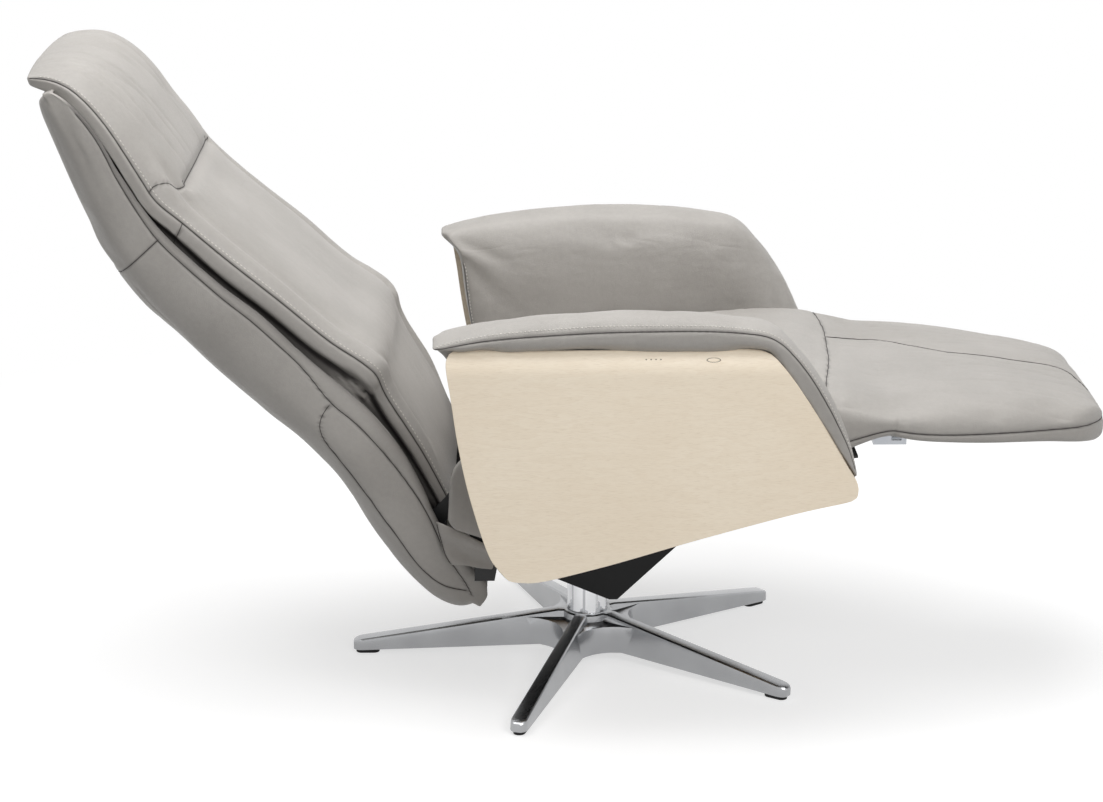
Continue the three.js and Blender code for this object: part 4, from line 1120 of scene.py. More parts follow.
def ridges(points: Array, stretch: Array, seed: float, power: float = 3.0) -> Array:
    """Long soft creases, from 0 to 1.

    Args:
        points: Places in millimetres.
        stretch: Rows of a matrix, each an axis times the creases per millimetre along it.
        seed: Shifts the pattern.
        power: How narrow the creases are.

    Returns:
        The creases' strength at each place.
    """
    spread = points @ stretch.T + seed
    values = np.array([noise.noise(Vector(p)) for p in spread])
    return np.maximum(0, 1 - np.abs(values) * 2.2) ** power


def swell(points: Array, scale: float, seed: float) -> Array:
    """Soft unevenness from -1 to 1, with hollows of about the scale's size in millimetres."""
    return np.array([noise.noise(Vector(p)) for p in points / scale + seed])


@dataclass
class SoftPiece:
    """A padded leather piece: a rounded box, bent into place, puffed between its seams, and sewn.

    Attributes:
        name: The piece's name.
        size: The flat box's size.
        places: The grid lines along each axis.
        low: The radii of its lower edges.
        high: The radii of its upper edges.
        bend: Puts flat points into the chair's frame.
        seams: The sewn lines.
        stitches: The rows of topstitching.
        held: Says which flat points rest on something and don't puff.
        wrinkles: The height of the creases at places, in millimetres.
        pressure: The pressure that puffs it, or 0 for a piece that doesn't.
        cap: The most that a point may move while it puffs.
        shape: Moves rounded flat points before the bend.
        shaded: How much painted shade, in the leather's crease colour, places with their normals get, from 0
            to 1.
        fill: How full the pad is, from 0 to 1.
        coarse: The places of the mesh before it puffs.
        made: The piece's object.
        plain: The surface before its creases.
        creased: The surface with its creases.
        top: The finished surface.
        laid: Each seam's points on the surface, and the normals there.
    """

    name: str
    size: tuple[float, float, float]
    places: Sequence[Array]
    low: tuple[float, float, float]
    high: tuple[float, float, float]
    bend: Callable[[Array], Array]
    seams: list[Seam] = field(default_factory=list)
    stitches: list[Stitching] = field(default_factory=list)
    held: Callable[[Array], Array] | None = None
    wrinkles: Callable[[Array, Array], Array] | None = None
    pressure: float = 4.0
    cap: float = 6.0
    shape: Callable[[Array, Array], Array] | None = None
    shaded: Callable[[Array, Array], Array] | None = None
    fill: float = 0.7
    coarse: Array = field(init=False)
    made: bpy.types.Object = field(init=False)
    plain: BVHTree = field(init=False)
    creased: BVHTree = field(init=False)
    top: BVHTree = field(init=False)
    laid: list[tuple[Array, Array]] = field(init=False)

    def surface(self, flat: Points) -> Array:
        """Where flat points lie in the chair's frame.

        Args:
            flat: Points on the flat box's surface.

        Returns:
            Their places.
        """
        flat = np.asarray(flat, float)
        soft = rounded(flat, self.size, self.low, self.high)
        if self.shape is not None:
            soft = self.shape(flat, soft)
        return self.bend(soft)

    def start(self) -> None:
        """Makes the coarse mesh, with its seams held, ready to puff."""
        bm, flat = ticked_box(self.places)
        self.coarse = self.surface(flat)
        self.made = make_object(self.name, bm, self.coarse)
        turn_outwards(self.made.data)
        if not self.pressure:
            return
        pinned = np.zeros(len(flat), bool)
        lines = [self.surface(dense(seam.flat, 5)) for seam in self.seams if seam.holds]
        if lines:
            tree = tree_of(np.concatenate(lines))
            pinned = np.array([tree.find(point)[2] < HELD_BESIDE_SEAM for point in self.coarse])
        if self.held is not None:
            pinned |= self.held(flat)
        group = self.made.vertex_groups.new(name="held")
        group.add([int(i) for i in np.nonzero(pinned)[0]], 1.0, "REPLACE")
        cloth = self.made.modifiers.new("puff", "CLOTH")
        for name, value in PUFF_SETTINGS.items():
            setattr(cloth.settings, name, value)
        cloth.settings.uniform_pressure_force = self.pressure
        cloth.settings.effector_weights.gravity = 0
        cloth.collision_settings.use_collision = False

    def puff(self) -> None:
        """Takes the puffed shape, within the cap."""
        if not self.made.modifiers:
            return
        graph = bpy.context.evaluated_depsgraph_get()
        step = place_of(self.made.evaluated_get(graph).data) - self.coarse
        self.made.modifiers.clear()
        self.made.vertex_groups.clear()
        reach = np.maximum(np.linalg.norm(step, axis=1, keepdims=True), 1e-6)
        LOG.info("%s puffed %.1f mm at most", self.name, float(reach.max()))
        set_places(self.made.data, self.coarse + step / reach * self.cap * np.tanh(reach / self.cap))

    def sew(self, finishes: Finishes) -> None:
        """Smooths the piece, lays its creases and seams with their painted shade, and adds its thread.

        Args:
            finishes: The chair's finishes.
        """
        finish_surface(self.made, 1)
        mesh = self.made.data
        places, normals = place_of(mesh), normals_of(mesh)
        polygons = [tuple(p.vertices) for p in mesh.polygons]
        self.plain = self.creased = surface_tree(places, polygons)
        if self.wrinkles is not None:
            places = places + normals * self.wrinkles(places, normals)[:, None]
            set_places(mesh, places)
            normals = normals_of(mesh)
            self.creased = surface_tree(places, polygons)
        self.laid = [self.lay(seam.flat, 1.6) for seam in self.seams]
        sink, shade = self.sunk(places)
        # Painted shade from the piece's own mask joins the seams' painted shade.
        if self.shaded is not None:
            shade = np.maximum(shade, self.shaded(places, normals))
        places = places - normals * sink[:, None]
        set_places(mesh, places)
        self.top = surface_tree(places, polygons)
        mark_points(mesh, "seam", shade)
        mesh.materials.append(finishes.leather)
        mesh.shade_smooth()
        # The dark tubes in the shown seams are painted shade; the pale stitches are thread.
        lines = [tube_mesh(*self.on_top(seam.flat, 2.2, 0.3), 0.55) for seam in self.seams if seam.shown]
        threads = [stitch_mesh(*self.on_top(row.flat, 2.0, 0.0), row.pitch) for row in self.stitches]
        join_into(mesh, lines, finishes.seam)
        join_into(mesh, threads, finishes.thread)

    def on_top(self, flat: Points, step: float, lift: float) -> tuple[Array, Array]:
        """Lays a flat line onto the finished surface.

        Args:
            flat: The line's points on the flat box.
            step: The distance between its points.
            lift: How far it stands above the surface.

        Returns:
            The line's points and the surface's normals there.
        """
        path, out = self.lay(flat, step)
        hits = np.array([self.top.find_nearest(Vector(point))[0] for point in path])
        height = ((hits - path) * out).sum(axis=1)
        padded = np.pad(height, 2, mode="edge")
        crest = np.max([padded[i : i + len(height)] for i in range(5)], axis=0)
        height = 0.5 * (crest + height)
        for _ in range(3):
            height = eased(height)
        return path + out * (height + lift)[:, None], out

    def sunk(self, places: Array) -> tuple[Array, Array]:
        """The seams' pull on the leather, and their painted shade.

        Args:
            places: Places on the surface.

        Returns:
            How far the leather is pulled in at each place, and how much painted shade the seams' lines put
            there.
        """
        sink = np.zeros(len(places))
        shade = np.zeros(len(places))
        for seam, (path, _) in zip(self.seams, self.laid):
            tree = tree_of(path)
            low = path.min(axis=0) - SEAM_REACH * seam.width
            high = path.max(axis=0) + SEAM_REACH * seam.width
            for i in np.nonzero(np.all((places > low) & (places < high), axis=1))[0]:
                gap = tree.find(places[i])[2] / seam.width
                if gap < SEAM_REACH:
                    sink[i] = max(sink[i], seam.depth * math.exp(-gap * gap))
                    # A shown seam's line gets painted shade in the leather's own colour.
                    if seam.shown:
                        line = math.exp(-((gap * seam.width / SEAM_LINE) ** 2))
                        shade[i] = max(shade[i], SEAM_SHADE * line)
        return sink, shade

    def lay(self, flat: Points, step: float) -> tuple[Array, Array]:
        """Lays a flat line onto the piece's mesh.

        Args:
            flat: The line's points on the flat box.
            step: The distance between its points.

        Returns:
            The line's points on the mesh, and the mesh's normals there.
        """
        path, normals = nearest_on(self.plain, self.surface(dense(flat, step)))
        if self.wrinkles is not None:
            path, normals = nearest_on(self.creased, path + normals * self.wrinkles(path, normals)[:, None])
        for _ in range(4):
            path, normals = eased(path), eased(normals)
        normals = unit(normals, 1e-9)
        keep = np.concatenate([[True], np.linalg.norm(np.diff(path, axis=0), axis=1) > 0.3])
        return path[keep], normals[keep]


@dataclass
class LongForm:
    """Something that runs along the chair.

    Attributes:
        rows: Places along it: the X and Z of its outer and of its inner face, half its width, and its crown.
        line: The rows as a smooth line.
    """

    rows: Points = ()
    line: Line = field(init=False)

    def __post_init__(self) -> None:
        """Lays the line."""
        self.line = Line(list(self.rows))

    def depth_along(self, count: int) -> tuple[Array, Array, Array]:
        """Measures the form's depth.

        Args:
            count: How many places are measured.

        Returns:
            The places' shares of the length, their rows, and the depth there.
        """
        shares = np.linspace(0, 1, count)
        row = self.line.at(shares)
        return shares, row, np.linalg.norm(row[:, 0:2] - row[:, 2:4], axis=1)


@dataclass
class BackCushion(LongForm):
    """The back cushion and the head cushion that curls over the shell, in one run of leather.

    Attributes:
        crease: The front X and Z of the crease between back and head.
        wing: The front X and Z at which the wide sides end.
        strip: Heights, and how wide the side strip is there.
        halves: Heights, and half the cushion's width there.
        size: The flat box's size.
        below: Shares along the cushion, and the share of its thickness at which its strip ends.
    """

    rows: Points = (
        (-193, 294, -206, 272, 218, 3),
        (-203, 319, -226, 292, 222, 6),
        (-234, 381, -264, 344, 224, 10),
        (-255, 417, -286, 372, 224, 11),
        (-276, 451, -310, 404, 224, 12),
        (-288, 474, -325, 420, 225, 13),
        (-296, 500, -346, 436, 235, 15),
        (-314, 518, -363, 454, 239, 16),
        (-359, 548, -403, 500, 240, 17),
        (-427, 606, -468, 558, 241, 20),
        (-495, 662, -534, 616, 241, 22),
        (-557, 715, -585, 680, 241, 24),
        (-592, 743, -614, 722, 241, 41),
        (-612, 774, -632, 758, 240, 40),
        (-632, 808, -652, 796, 238, 35),
        (-655, 843, -672, 832, 234, 34),
        (-681, 874, -696, 862, 228, 31),
        (-705, 893, -713, 876, 219, 25),
        (-729, 902, -732, 884, 207, 16),
        (-752, 904, -750, 888, 195, 8),
        (-768, 902, -764, 891, 184, 3),
    )
    crease: tuple[float, float] = (-577, 731)
    wing: tuple[float, float] = (-292, 488)
    strip: Points = ((300, 480, 500, 680, 760, 900), (13, 17, 22, 21, 15, 15))
    halves: Points = (
        (294, 319, 474, 500, 518, 548, 743, 774, 808, 843, 874, 893),
        (218, 222, 225, 235, 239, 241, 241, 240, 238, 234, 228, 219),
    )
    size: tuple[float, float, float] = (850.0, 456.0, 60.0)
    below: tuple[Array, Array] = field(init=False)

    def __post_init__(self) -> None:
        """Lays the line, and finds where the side strips end on it."""
        super().__post_init__()
        shares, row, depth = self.depth_along(120)
        self.below = (shares, 1 - (np.interp(row[:, 1], *self.strip) + 4) / depth)

    def piece(self) -> SoftPiece:
        """Lays out the cushion's flat box, its seams and its stitch rows.

        Returns:
            The cushion, ready to start.
        """
        long, wide, thick = self.size
        fold = self.line.share_near(self.crease) * long
        wing = self.line.share_near(self.wing) * long
        runs = [(x, thick) for x in np.linspace(0, long, 60)]
        cut = fold - 26
        seams = []
        stitches = []
        for y, inward in ((0, 1), (wide, -1)):
            seams.append(Seam([(x, y, z) for x, z in runs]))
            seams.append(Seam([(cut, y, thick), (cut - 8, y, 14)], depth=1.2))
            curve = [(wing - 2, y, thick), (wing - 6, y, thick - 20), (wing, y, 16)]
            seams.append(Seam(curve, depth=1.4, width=3, shown=False))
            stitches.append(Stitching([(x, y + inward * 6, z) for x, z in runs[1:-1]], 6.2))
            tab = [(fold + x, y + inward * across, thick) for x, across in ((33, 0), (36, 9), (32, 17))]
            seams.append(Seam(tab, depth=1.2))
        arch = [(fold + 32, 17), (fold + 25, 27), (fold + 13, 39), (fold + 4, 50), (fold, 64), (fold, 90)]
        turn = [(x, wide - y) for x, y in reversed(arch)]
        across = [(x, y, thick) for x, y in Line([*arch, (fold, wide / 2), *turn]).at(np.linspace(0, 1, 90))]
        seams.append(Seam(across[14:-14], depth=6, width=9, shown=False))
        seams.append(Seam(across, depth=1.6, width=2.6))
        seams.append(Seam([(0, y, thick) for y in np.linspace(0, wide, 30)]))
        return SoftPiece(
            name="back_and_head_cushion",
            size=self.size,
            places=(
                ticks(long, 9, (4, 9), (fold, wing)),
                ticks(wide, 10, (2.5, 5, 8)),
                ticks(thick, 4, (2,)),
            ),
            low=(8, 7, 9),
            high=(6, 9, 16),
            bend=Bend(self.line, self.size, extra=self.full_end, fullness=4.6),
            seams=seams,
            stitches=stitches,
            held=self.held,
            wrinkles=self.creases,
            shaded=self.shadow,
            cap=4,
        )

    def held(self, flat: Array) -> Array:
        """What rests in the shell, and doesn't puff.

        Args:
            flat: Points on the flat box.

        Returns:
            Whether each is held.
        """
        _, wide, thick = self.size
        side = np.abs(flat[:, 1] - wide / 2) > wide / 2 - 8
        return (flat[:, 2] < thick * 0.3) | (flat[:, 2] < thick * 0.85) & side

    def shadow(self, places: Array, normals: Array) -> Array:
        """Painted shade below the side strips, where the gap under them lies in shadow.

        Args:
            places: Places on the surface.
            normals: The surface's normals there.

        Returns:
            The painted shade's share of the colour, from 0 to 1.
        """
        inset = np.interp(places[:, 2], *self.halves) - np.abs(places[:, 1])
        front = normals @ RECLINED_FACE
        return smooth(inset, 4, 8) * smooth(-front, -0.2, 0.1) * smooth(-places[:, 2], -850, -800)

    def full_end(self, along: Array, across: Array, up: Array, points: Array) -> Array:
        """Rounds the head's end outwards between its corners, and draws the sides in below their strips.

        Args:
            along: Shares along the cushion.
            across: Places across it, from -1 to 1.
            up: Shares of its thickness.
            points: The points, which are moved.

        Returns:
            The moved points.
        """
        below = smooth(np.interp(along, *self.below) - up, 0, 0.09)
        drawn = 15 * below * np.abs(across) ** 8 * smooth(-along, -0.84, -0.78)
        points[:, 1] -= np.sign(across) * drawn
        bulge = smooth(along, 0.93, 1) * (1 - np.abs(across) ** 2)
        points[:, 0] -= 6 * bulge
        return points

    def creases(self, places: Array, normals: Array) -> Array:
        """The side rolls, the long soft creases that run with the back, and small folds at the wings' ends.

        Args:
            places: Places on the surface.
            normals: The surface's normals there.

        Returns:
            How far the leather stands out at each place.
        """
        stretch = np.stack([DOWN_THE_BACK / 300, ACROSS / 36, OUT_OF_THE_BACK / 200])
        front = smooth(normals @ RECLINED_FACE, 0.1, 0.8)
        head = smooth(places[:, 2], 745, 790)
        lines = -(0.5 + 2.0 * head) * ridges(places, stretch, 3.7, 6) * front
        soft = swell(places, 75, 8.1)
        inset = 240 - np.abs(places[:, 1]) - 15 * smooth(places[:, 0], -300, -285)
        ends = smooth(places[:, 0], -606, -578) * smooth(-places[:, 0], 205, 250)
        roll = 7.0 * np.exp(-(((inset - 24) / 13) ** 2)) - 3.0 * np.exp(-(((inset - 48) / 8) ** 2))
        roll = roll * ends * front
        near_wing = np.exp(-(((places[:, 0] + 322) / 28) ** 2) - ((places[:, 2] - 470) / 26) ** 2)
        side = smooth(np.abs(places[:, 1]), 200, 220) * (1 - front)
        close = np.stack([DOWN_THE_BACK / 60, ACROSS / 80, OUT_OF_THE_BACK / 9])
        folds = -3.0 * near_wing * side * ridges(places, close, 5.5)
        return lines + soft + roll + folds


@dataclass
class BackShell(LongForm):
    """The upholstered shell of the back, open to the front.

    Attributes:
        rim: The seam behind the rim in X and Z, from the top to the low end.
        pocket: The lower panel's seam in X and Z, from the rim's seam down to the low end.
        cross: The front X and Z at which the seam across the shell starts.
        size: The flat box's size.
        wall: The wall's thickness.
        edge: How far its rear edges are rounded, across and in depth.
        depths: Shares along the shell, and its depth there.
    """

    rows: Points = (
        (-147, 166, -172, 134, 228, 0),
        (-151, 192, -214, 146, 234, 0),
        (-176, 224, -250, 176, 240, 0),
        (-203, 264, -288, 222, 246, 0),
        (-219, 298, -318, 266, 249, 0),
        (-237, 341, -340, 302, 250, 0),
        (-262, 391, -366, 340, 251, 0),
        (-295, 438, -394, 370, 252, 0),
        (-332, 474, -424, 400, 252, 0),
        (-371, 508, -457, 428, 252, 0),
        (-410, 545, -498, 466, 252, 0),
        (-456, 589, -540, 506, 251, 0),
        (-503, 625, -580, 546, 250, 0),
        (-545, 664, -624, 588, 249, 0),
        (-591, 711, -664, 644, 248, 0),
        (-637, 780, -696, 716, 246, 0),
        (-665, 831, -722, 784, 244, 0),
        (-690, 863, -742, 838, 241, 0),
        (-712, 883, -752, 870, 238, 0),
        (-730, 892, -753, 886, 235, 0),
    )
    rim: Points = (
        (-690, 868), (-667, 843), (-643, 781), (-619, 737), (-589, 690), (-559, 660), (-526, 630),
        (-495, 602), (-461, 573), (-436, 550), (-410, 526), (-390, 501), (-376, 481), (-363, 459),
        (-338, 442), (-312, 415), (-276, 370), (-250, 334), (-225, 297), (-216, 272), (-208, 242),
        (-195, 218), (-177, 193), (-170, 172),
    )
    pocket: Points = (
        (-363, 459), (-376, 446), (-381, 428), (-376, 407), (-356, 378), (-317, 323), (-277, 268),
        (-249, 224), (-224, 197), (-200, 184), (-177, 180),
    )
    cross: tuple[float, float] = (-587, 694)
    size: tuple[float, float, float] = (920.0, 500.0, 100.0)
    wall: float = 8.0
    edge: tuple[float, float] = (92, 56)
    depths: tuple[Array, Array] = field(init=False)

    def __post_init__(self) -> None:
        """Lays the line, and finds the shell's depth on it."""
        super().__post_init__()
        shares, _, depth = self.depth_along(90)
        self.depths = (shares, depth)

    def piece(self) -> SoftPiece:
        """Lays out the shell's flat box with its hollow front and its seams.

        Returns:
            The shell's cover, ready to start.
        """
        bend = Bend(self.line, self.size)
        long, wide, thick = self.size
        cut, start = bend.find(self.cross)
        rim = bend.trace(self.rim, 120)
        pocket = bend.trace(self.pocket, 60)
        seams = []
        for y in (0, wide):
            seams.append(Seam([(x, y, z) for x, z in rim], depth=1.3))
            seams.append(Seam([(x, y, z) for x, z in pocket], depth=1.2))
            seams.append(Seam([(cut, y, z) for z in np.linspace(start - 2, 4, 14)], depth=1.2))
        seams.append(Seam([(cut, y, 0) for y in np.linspace(0, wide, 60)], depth=1.2))
        return SoftPiece(
            name="back_shell_cover",
            size=self.size,
            places=(
                ticks(long, 11, (3, 6.5, 10.5, 16), (cut,)),
                ticks(wide, 12, (2, 4, 6.5, 8.5, 10.5, 14)),
                ticks(thick, 6, (3, 7, 12)),
            ),
            low=(22, *self.edge),
            high=(6, 6.5, 24),
            bend=bend,
            seams=seams,
            held=self.held,
            wrinkles=self.creases,
            shaded=self.shadow,
            cap=3,
            shape=self.hollow,
            fill=0.9,
        )

    def held(self, flat: Array) -> Array:
        """Says which flat points are on the front, which doesn't puff."""
        return flat[:, 2] > self.size[2] - 1

    def creases(self, places: Array, normals: Array) -> Array:
        """Soft unevenness with a few shallow creases."""
        return swell(places, 60, 2.2) - 0.6 * ridges(places, np.diag([1 / 120, 1 / 70, 1 / 120]), 9.4, 7)

    def shadow(self, places: Array, normals: Array) -> Array:
        """Painted shade inside the rim, which fades out over the rim itself.

        Args:
            places: Places on the surface.
            normals: The surface's normals there.

        Returns:
            The lining's share of the colour, from 0 to 1.
        """
        side = np.sign(places[:, 1]) * normals[:, 1]
        front = normals @ RECLINED_FACE
        inner = smooth(-side, -0.1, 0.3) * smooth(np.abs(places[:, 1]), 190, 205)
        rim = 0.7 * smooth(front, 0.05, 0.6) * smooth(np.abs(places[:, 1]), 225, 235)
        return np.maximum(inner, rim) * smooth(-places[:, 2], -885, -870)

    def hollow(self, flat: Array, soft: Array) -> Array:
        """Pushes the front face in to leave a wall.

        Args:
            flat: Points on the flat box.
            soft: The same points with the box's edges rounded.

        Returns:
            The hollowed box's points.
        """
        long, wide, thick = self.size
        across, deep = self.edge
        inset = np.minimum.reduce([flat[:, 0], long - flat[:, 0], flat[:, 1], wide - flat[:, 1]])
        depth = np.interp(flat[:, 0] / long, *self.depths)
        side = np.abs(flat[:, 1] - wide / 2)
        round_share = np.clip((side - (wide / 2 - across)) / across, 0, 1)
        floor = deep - deep * np.sqrt(1 - round_share**2) + thick * self.wall / np.maximum(depth, 20)
        into = smooth(inset, 6.5, 10.5) * (flat[:, 2] > thick - 0.01)
        soft = soft.copy()
        soft[:, 2] -= into * np.maximum(0, soft[:, 2] - np.minimum(floor, thick - 2))
        return soft


class Side(Enum):
    """The chair's two sides, as the sign of Y."""

    RIGHT = -1
    LEFT = 1


@dataclass
class SideForm:
    """Something on the chair's side, spanned between four edges as seen from the side.

    Attributes:
        side: The side it is on.
        low: Its lower edge in X and Z, from the rear to the front.
        high: Its upper edge.
        rear: Its rear edge, from the bottom up.
        front: Its front edge, from the bottom up.
        patch: The surface between the edges.
    """

    side: Side
    low: Points = ()
    high: Points = ()
    rear: Points = ()
    front: Points = ()
    patch: Patch = field(init=False)

    def __post_init__(self) -> None:
        """Spans the surface between the edges."""
        self.patch = Patch(Line(self.low), Line(self.high), Line(self.rear), Line(self.front))

    def named(self, name: str) -> str:
        """A name with the side at its end."""
        return f"{name}_{self.side.name.lower()}"


@dataclass
class ArmPanel(SideForm):
    """A bent wooden arm panel.

    Attributes:
        layers: Places of the grid lines through its thickness, which is the last of them.
        ease: How far its outer edges are rounded.
        outer: How far its outer face is from the middle.
        bend_radius: The outer radius of the bend inwards at its top.
        bend_from: The height at which it starts to bend.
    """

    low: Points = (
        (-130, 254), (-118, 242), (-100, 239), (-82, 239), (6, 260), (141, 300), (276, 337), (334, 350),
        (345, 353),
    )
    high: Points = (
        (-197, 559), (-190, 563), (-60, 563), (100, 563), (216, 563), (228, 560), (237, 555), (258, 531),
        (300, 468), (342, 398),
    )
    rear: Points = (
        (-130, 254), (-143, 273), (-170, 358), (-185, 429), (-195, 499), (-201, 551), (-197, 559),
    )
    front: Points = ((345, 353), (352, 358), (354, 366), (353, 377), (342, 398))
    layers: tuple[float, ...] = (0, 0.6, 2.8, 5.5, 8.2, 10.4, 11.0)
    ease: float = 0.6
    outer: float = 368.0
    bend_radius: float = 40.0
    bend_from: float = 531.8

    def build(self, finishes: Finishes) -> bpy.types.Object:
        """Builds the bent panel with its ply edges.

        Args:
            finishes: The chair's finishes.

        Returns:
            The panel.
        """
        columns = np.concatenate([[0, 0.004, 0.012], np.linspace(0.02, 0.98, 74), [0.988, 0.996, 1]])
        lines = np.concatenate([[0, 0.005, 0.015], np.linspace(0.03, 0.97, 48), [0.985, 0.995, 1]])
        bm, flat = ticked_box((columns, lines, np.array(self.layers)))
        along, up, deep = flat.T
        inset = np.minimum.reduce([along * 560, (1 - along) * 200, up * 320, (1 - up) * 320])
        plane = self.patch.at(along, up)
        skin = np.minimum(deep, self.layers[-1] - deep)
        ease = np.clip(self.ease - skin, 0, self.ease) * (inset < 0.5)
        plane = plane + unit(plane.mean(axis=0) - plane) * ease[:, None]
        panel = make_object(self.named("wood_arm_panel"), bm, self.bent(plane, deep))
        dark_ply = np.abs(np.abs(deep - self.layers[3]) - 2.7) < 0.5
        mark_points(panel.data, "ply", (skin > 1.5) & dark_ply)
        turn_outwards(panel.data)
        panel.data.materials.append(finishes.veneer)
        shade_smooth(panel, 40)
        return panel

    def bent(self, plane: Array, deep: Array) -> Array:
        """Stands the flat panel up, and bends its top inwards.

        Args:
            plane: The points' X and their way up the outer face.
            deep: Their depth below the outer face.

        Returns:
            Their places.
        """
        height = plane[:, 1]
        over = np.maximum(0, height - self.bend_from)
        angle = np.arcsin(np.clip(over / self.bend_radius, 0, 1))
        radius = self.bend_radius - deep
        y = np.where(over > 0, self.outer - self.bend_radius + radius * np.cos(angle), self.outer - deep)
        z = np.where(over > 0, self.bend_from + radius * np.sin(angle), height)
        return np.stack([plane[:, 0], y * self.side.value, z], axis=1)


@dataclass
class TouchMarks:
    """Generic touch marks on the right arm panel: a row of dots and an oval ring, flush with the veneer.

    Attributes:
        dots: The dots' X and Z.
        dot: Half a dot's width and height.
        oval: The oval's X and Z.
        oval_half: Half the oval's width and height.
        bead: Half the width and height of a bead of the oval.
        beads: How many beads make the oval.
        lift: How far the marks' middles stand above the veneer.
    """

    dots: Points = ((66, 552), (72.5, 552), (79, 552), (85.5, 552))
    dot: tuple[float, float] = (1.2, 0.9)
    oval: tuple[float, float] = (156, 551)
    oval_half: tuple[float, float] = (9.0, 2.6)
    bead: tuple[float, float] = (0.8, 0.4)
    beads: int = 40
    lift: float = 0.02

    def build(self, finishes: Finishes) -> bpy.types.Object:
        """Builds the marks as thin discs and a thin ring.

        Args:
            finishes: The chair's finishes.

        Returns:
            The marks in one piece.
        """
        bm = bmesh.new()
        for x, z in self.dots:
            self.disc(bm, x, z, self.dot)
        for i in range(self.beads):
            angle = 2 * math.pi * i / self.beads
            x = self.oval[0] + self.oval_half[0] * math.cos(angle)
            z = self.oval[1] + self.oval_half[1] * math.sin(angle)
            self.disc(bm, x, z, self.bead)
        marks = make_object("touch_marks", bm)
        marks.data.materials.append(finishes.touch)
        shade_smooth(marks, 40)
        return marks

    def disc(self, bm: bmesh.types.BMesh, x: float, z: float, half: tuple[float, float]) -> None:
        """Adds a thin lens that follows the panel's bend.

        Args:
            bm: The mesh that gets it.
            x: The lens's X.
            z: The lens's Z.
            half: Half its width and height.
        """
        bend = ArmPanel.bend_radius
        angle = math.asin(min(1.0, (z - ArmPanel.bend_from) / bend))
        y = -(ArmPanel.outer - bend + (bend + self.lift) * math.cos(angle))
        place = Vector((x, y, ArmPanel.bend_from + (bend + self.lift) * math.sin(angle))) * MM
        matrix = Matrix.Translation(place) @ Matrix.Rotation(-angle, 4, "X")
        matrix = matrix @ Matrix.Rotation(math.pi / 2, 4, "X")
        size = Matrix.Diagonal((half[0] * MM, half[1] * MM, 0.15 * MM, 1))
        bmesh.ops.create_icosphere(bm, subdivisions=2, radius=1.0, matrix=matrix @ size)


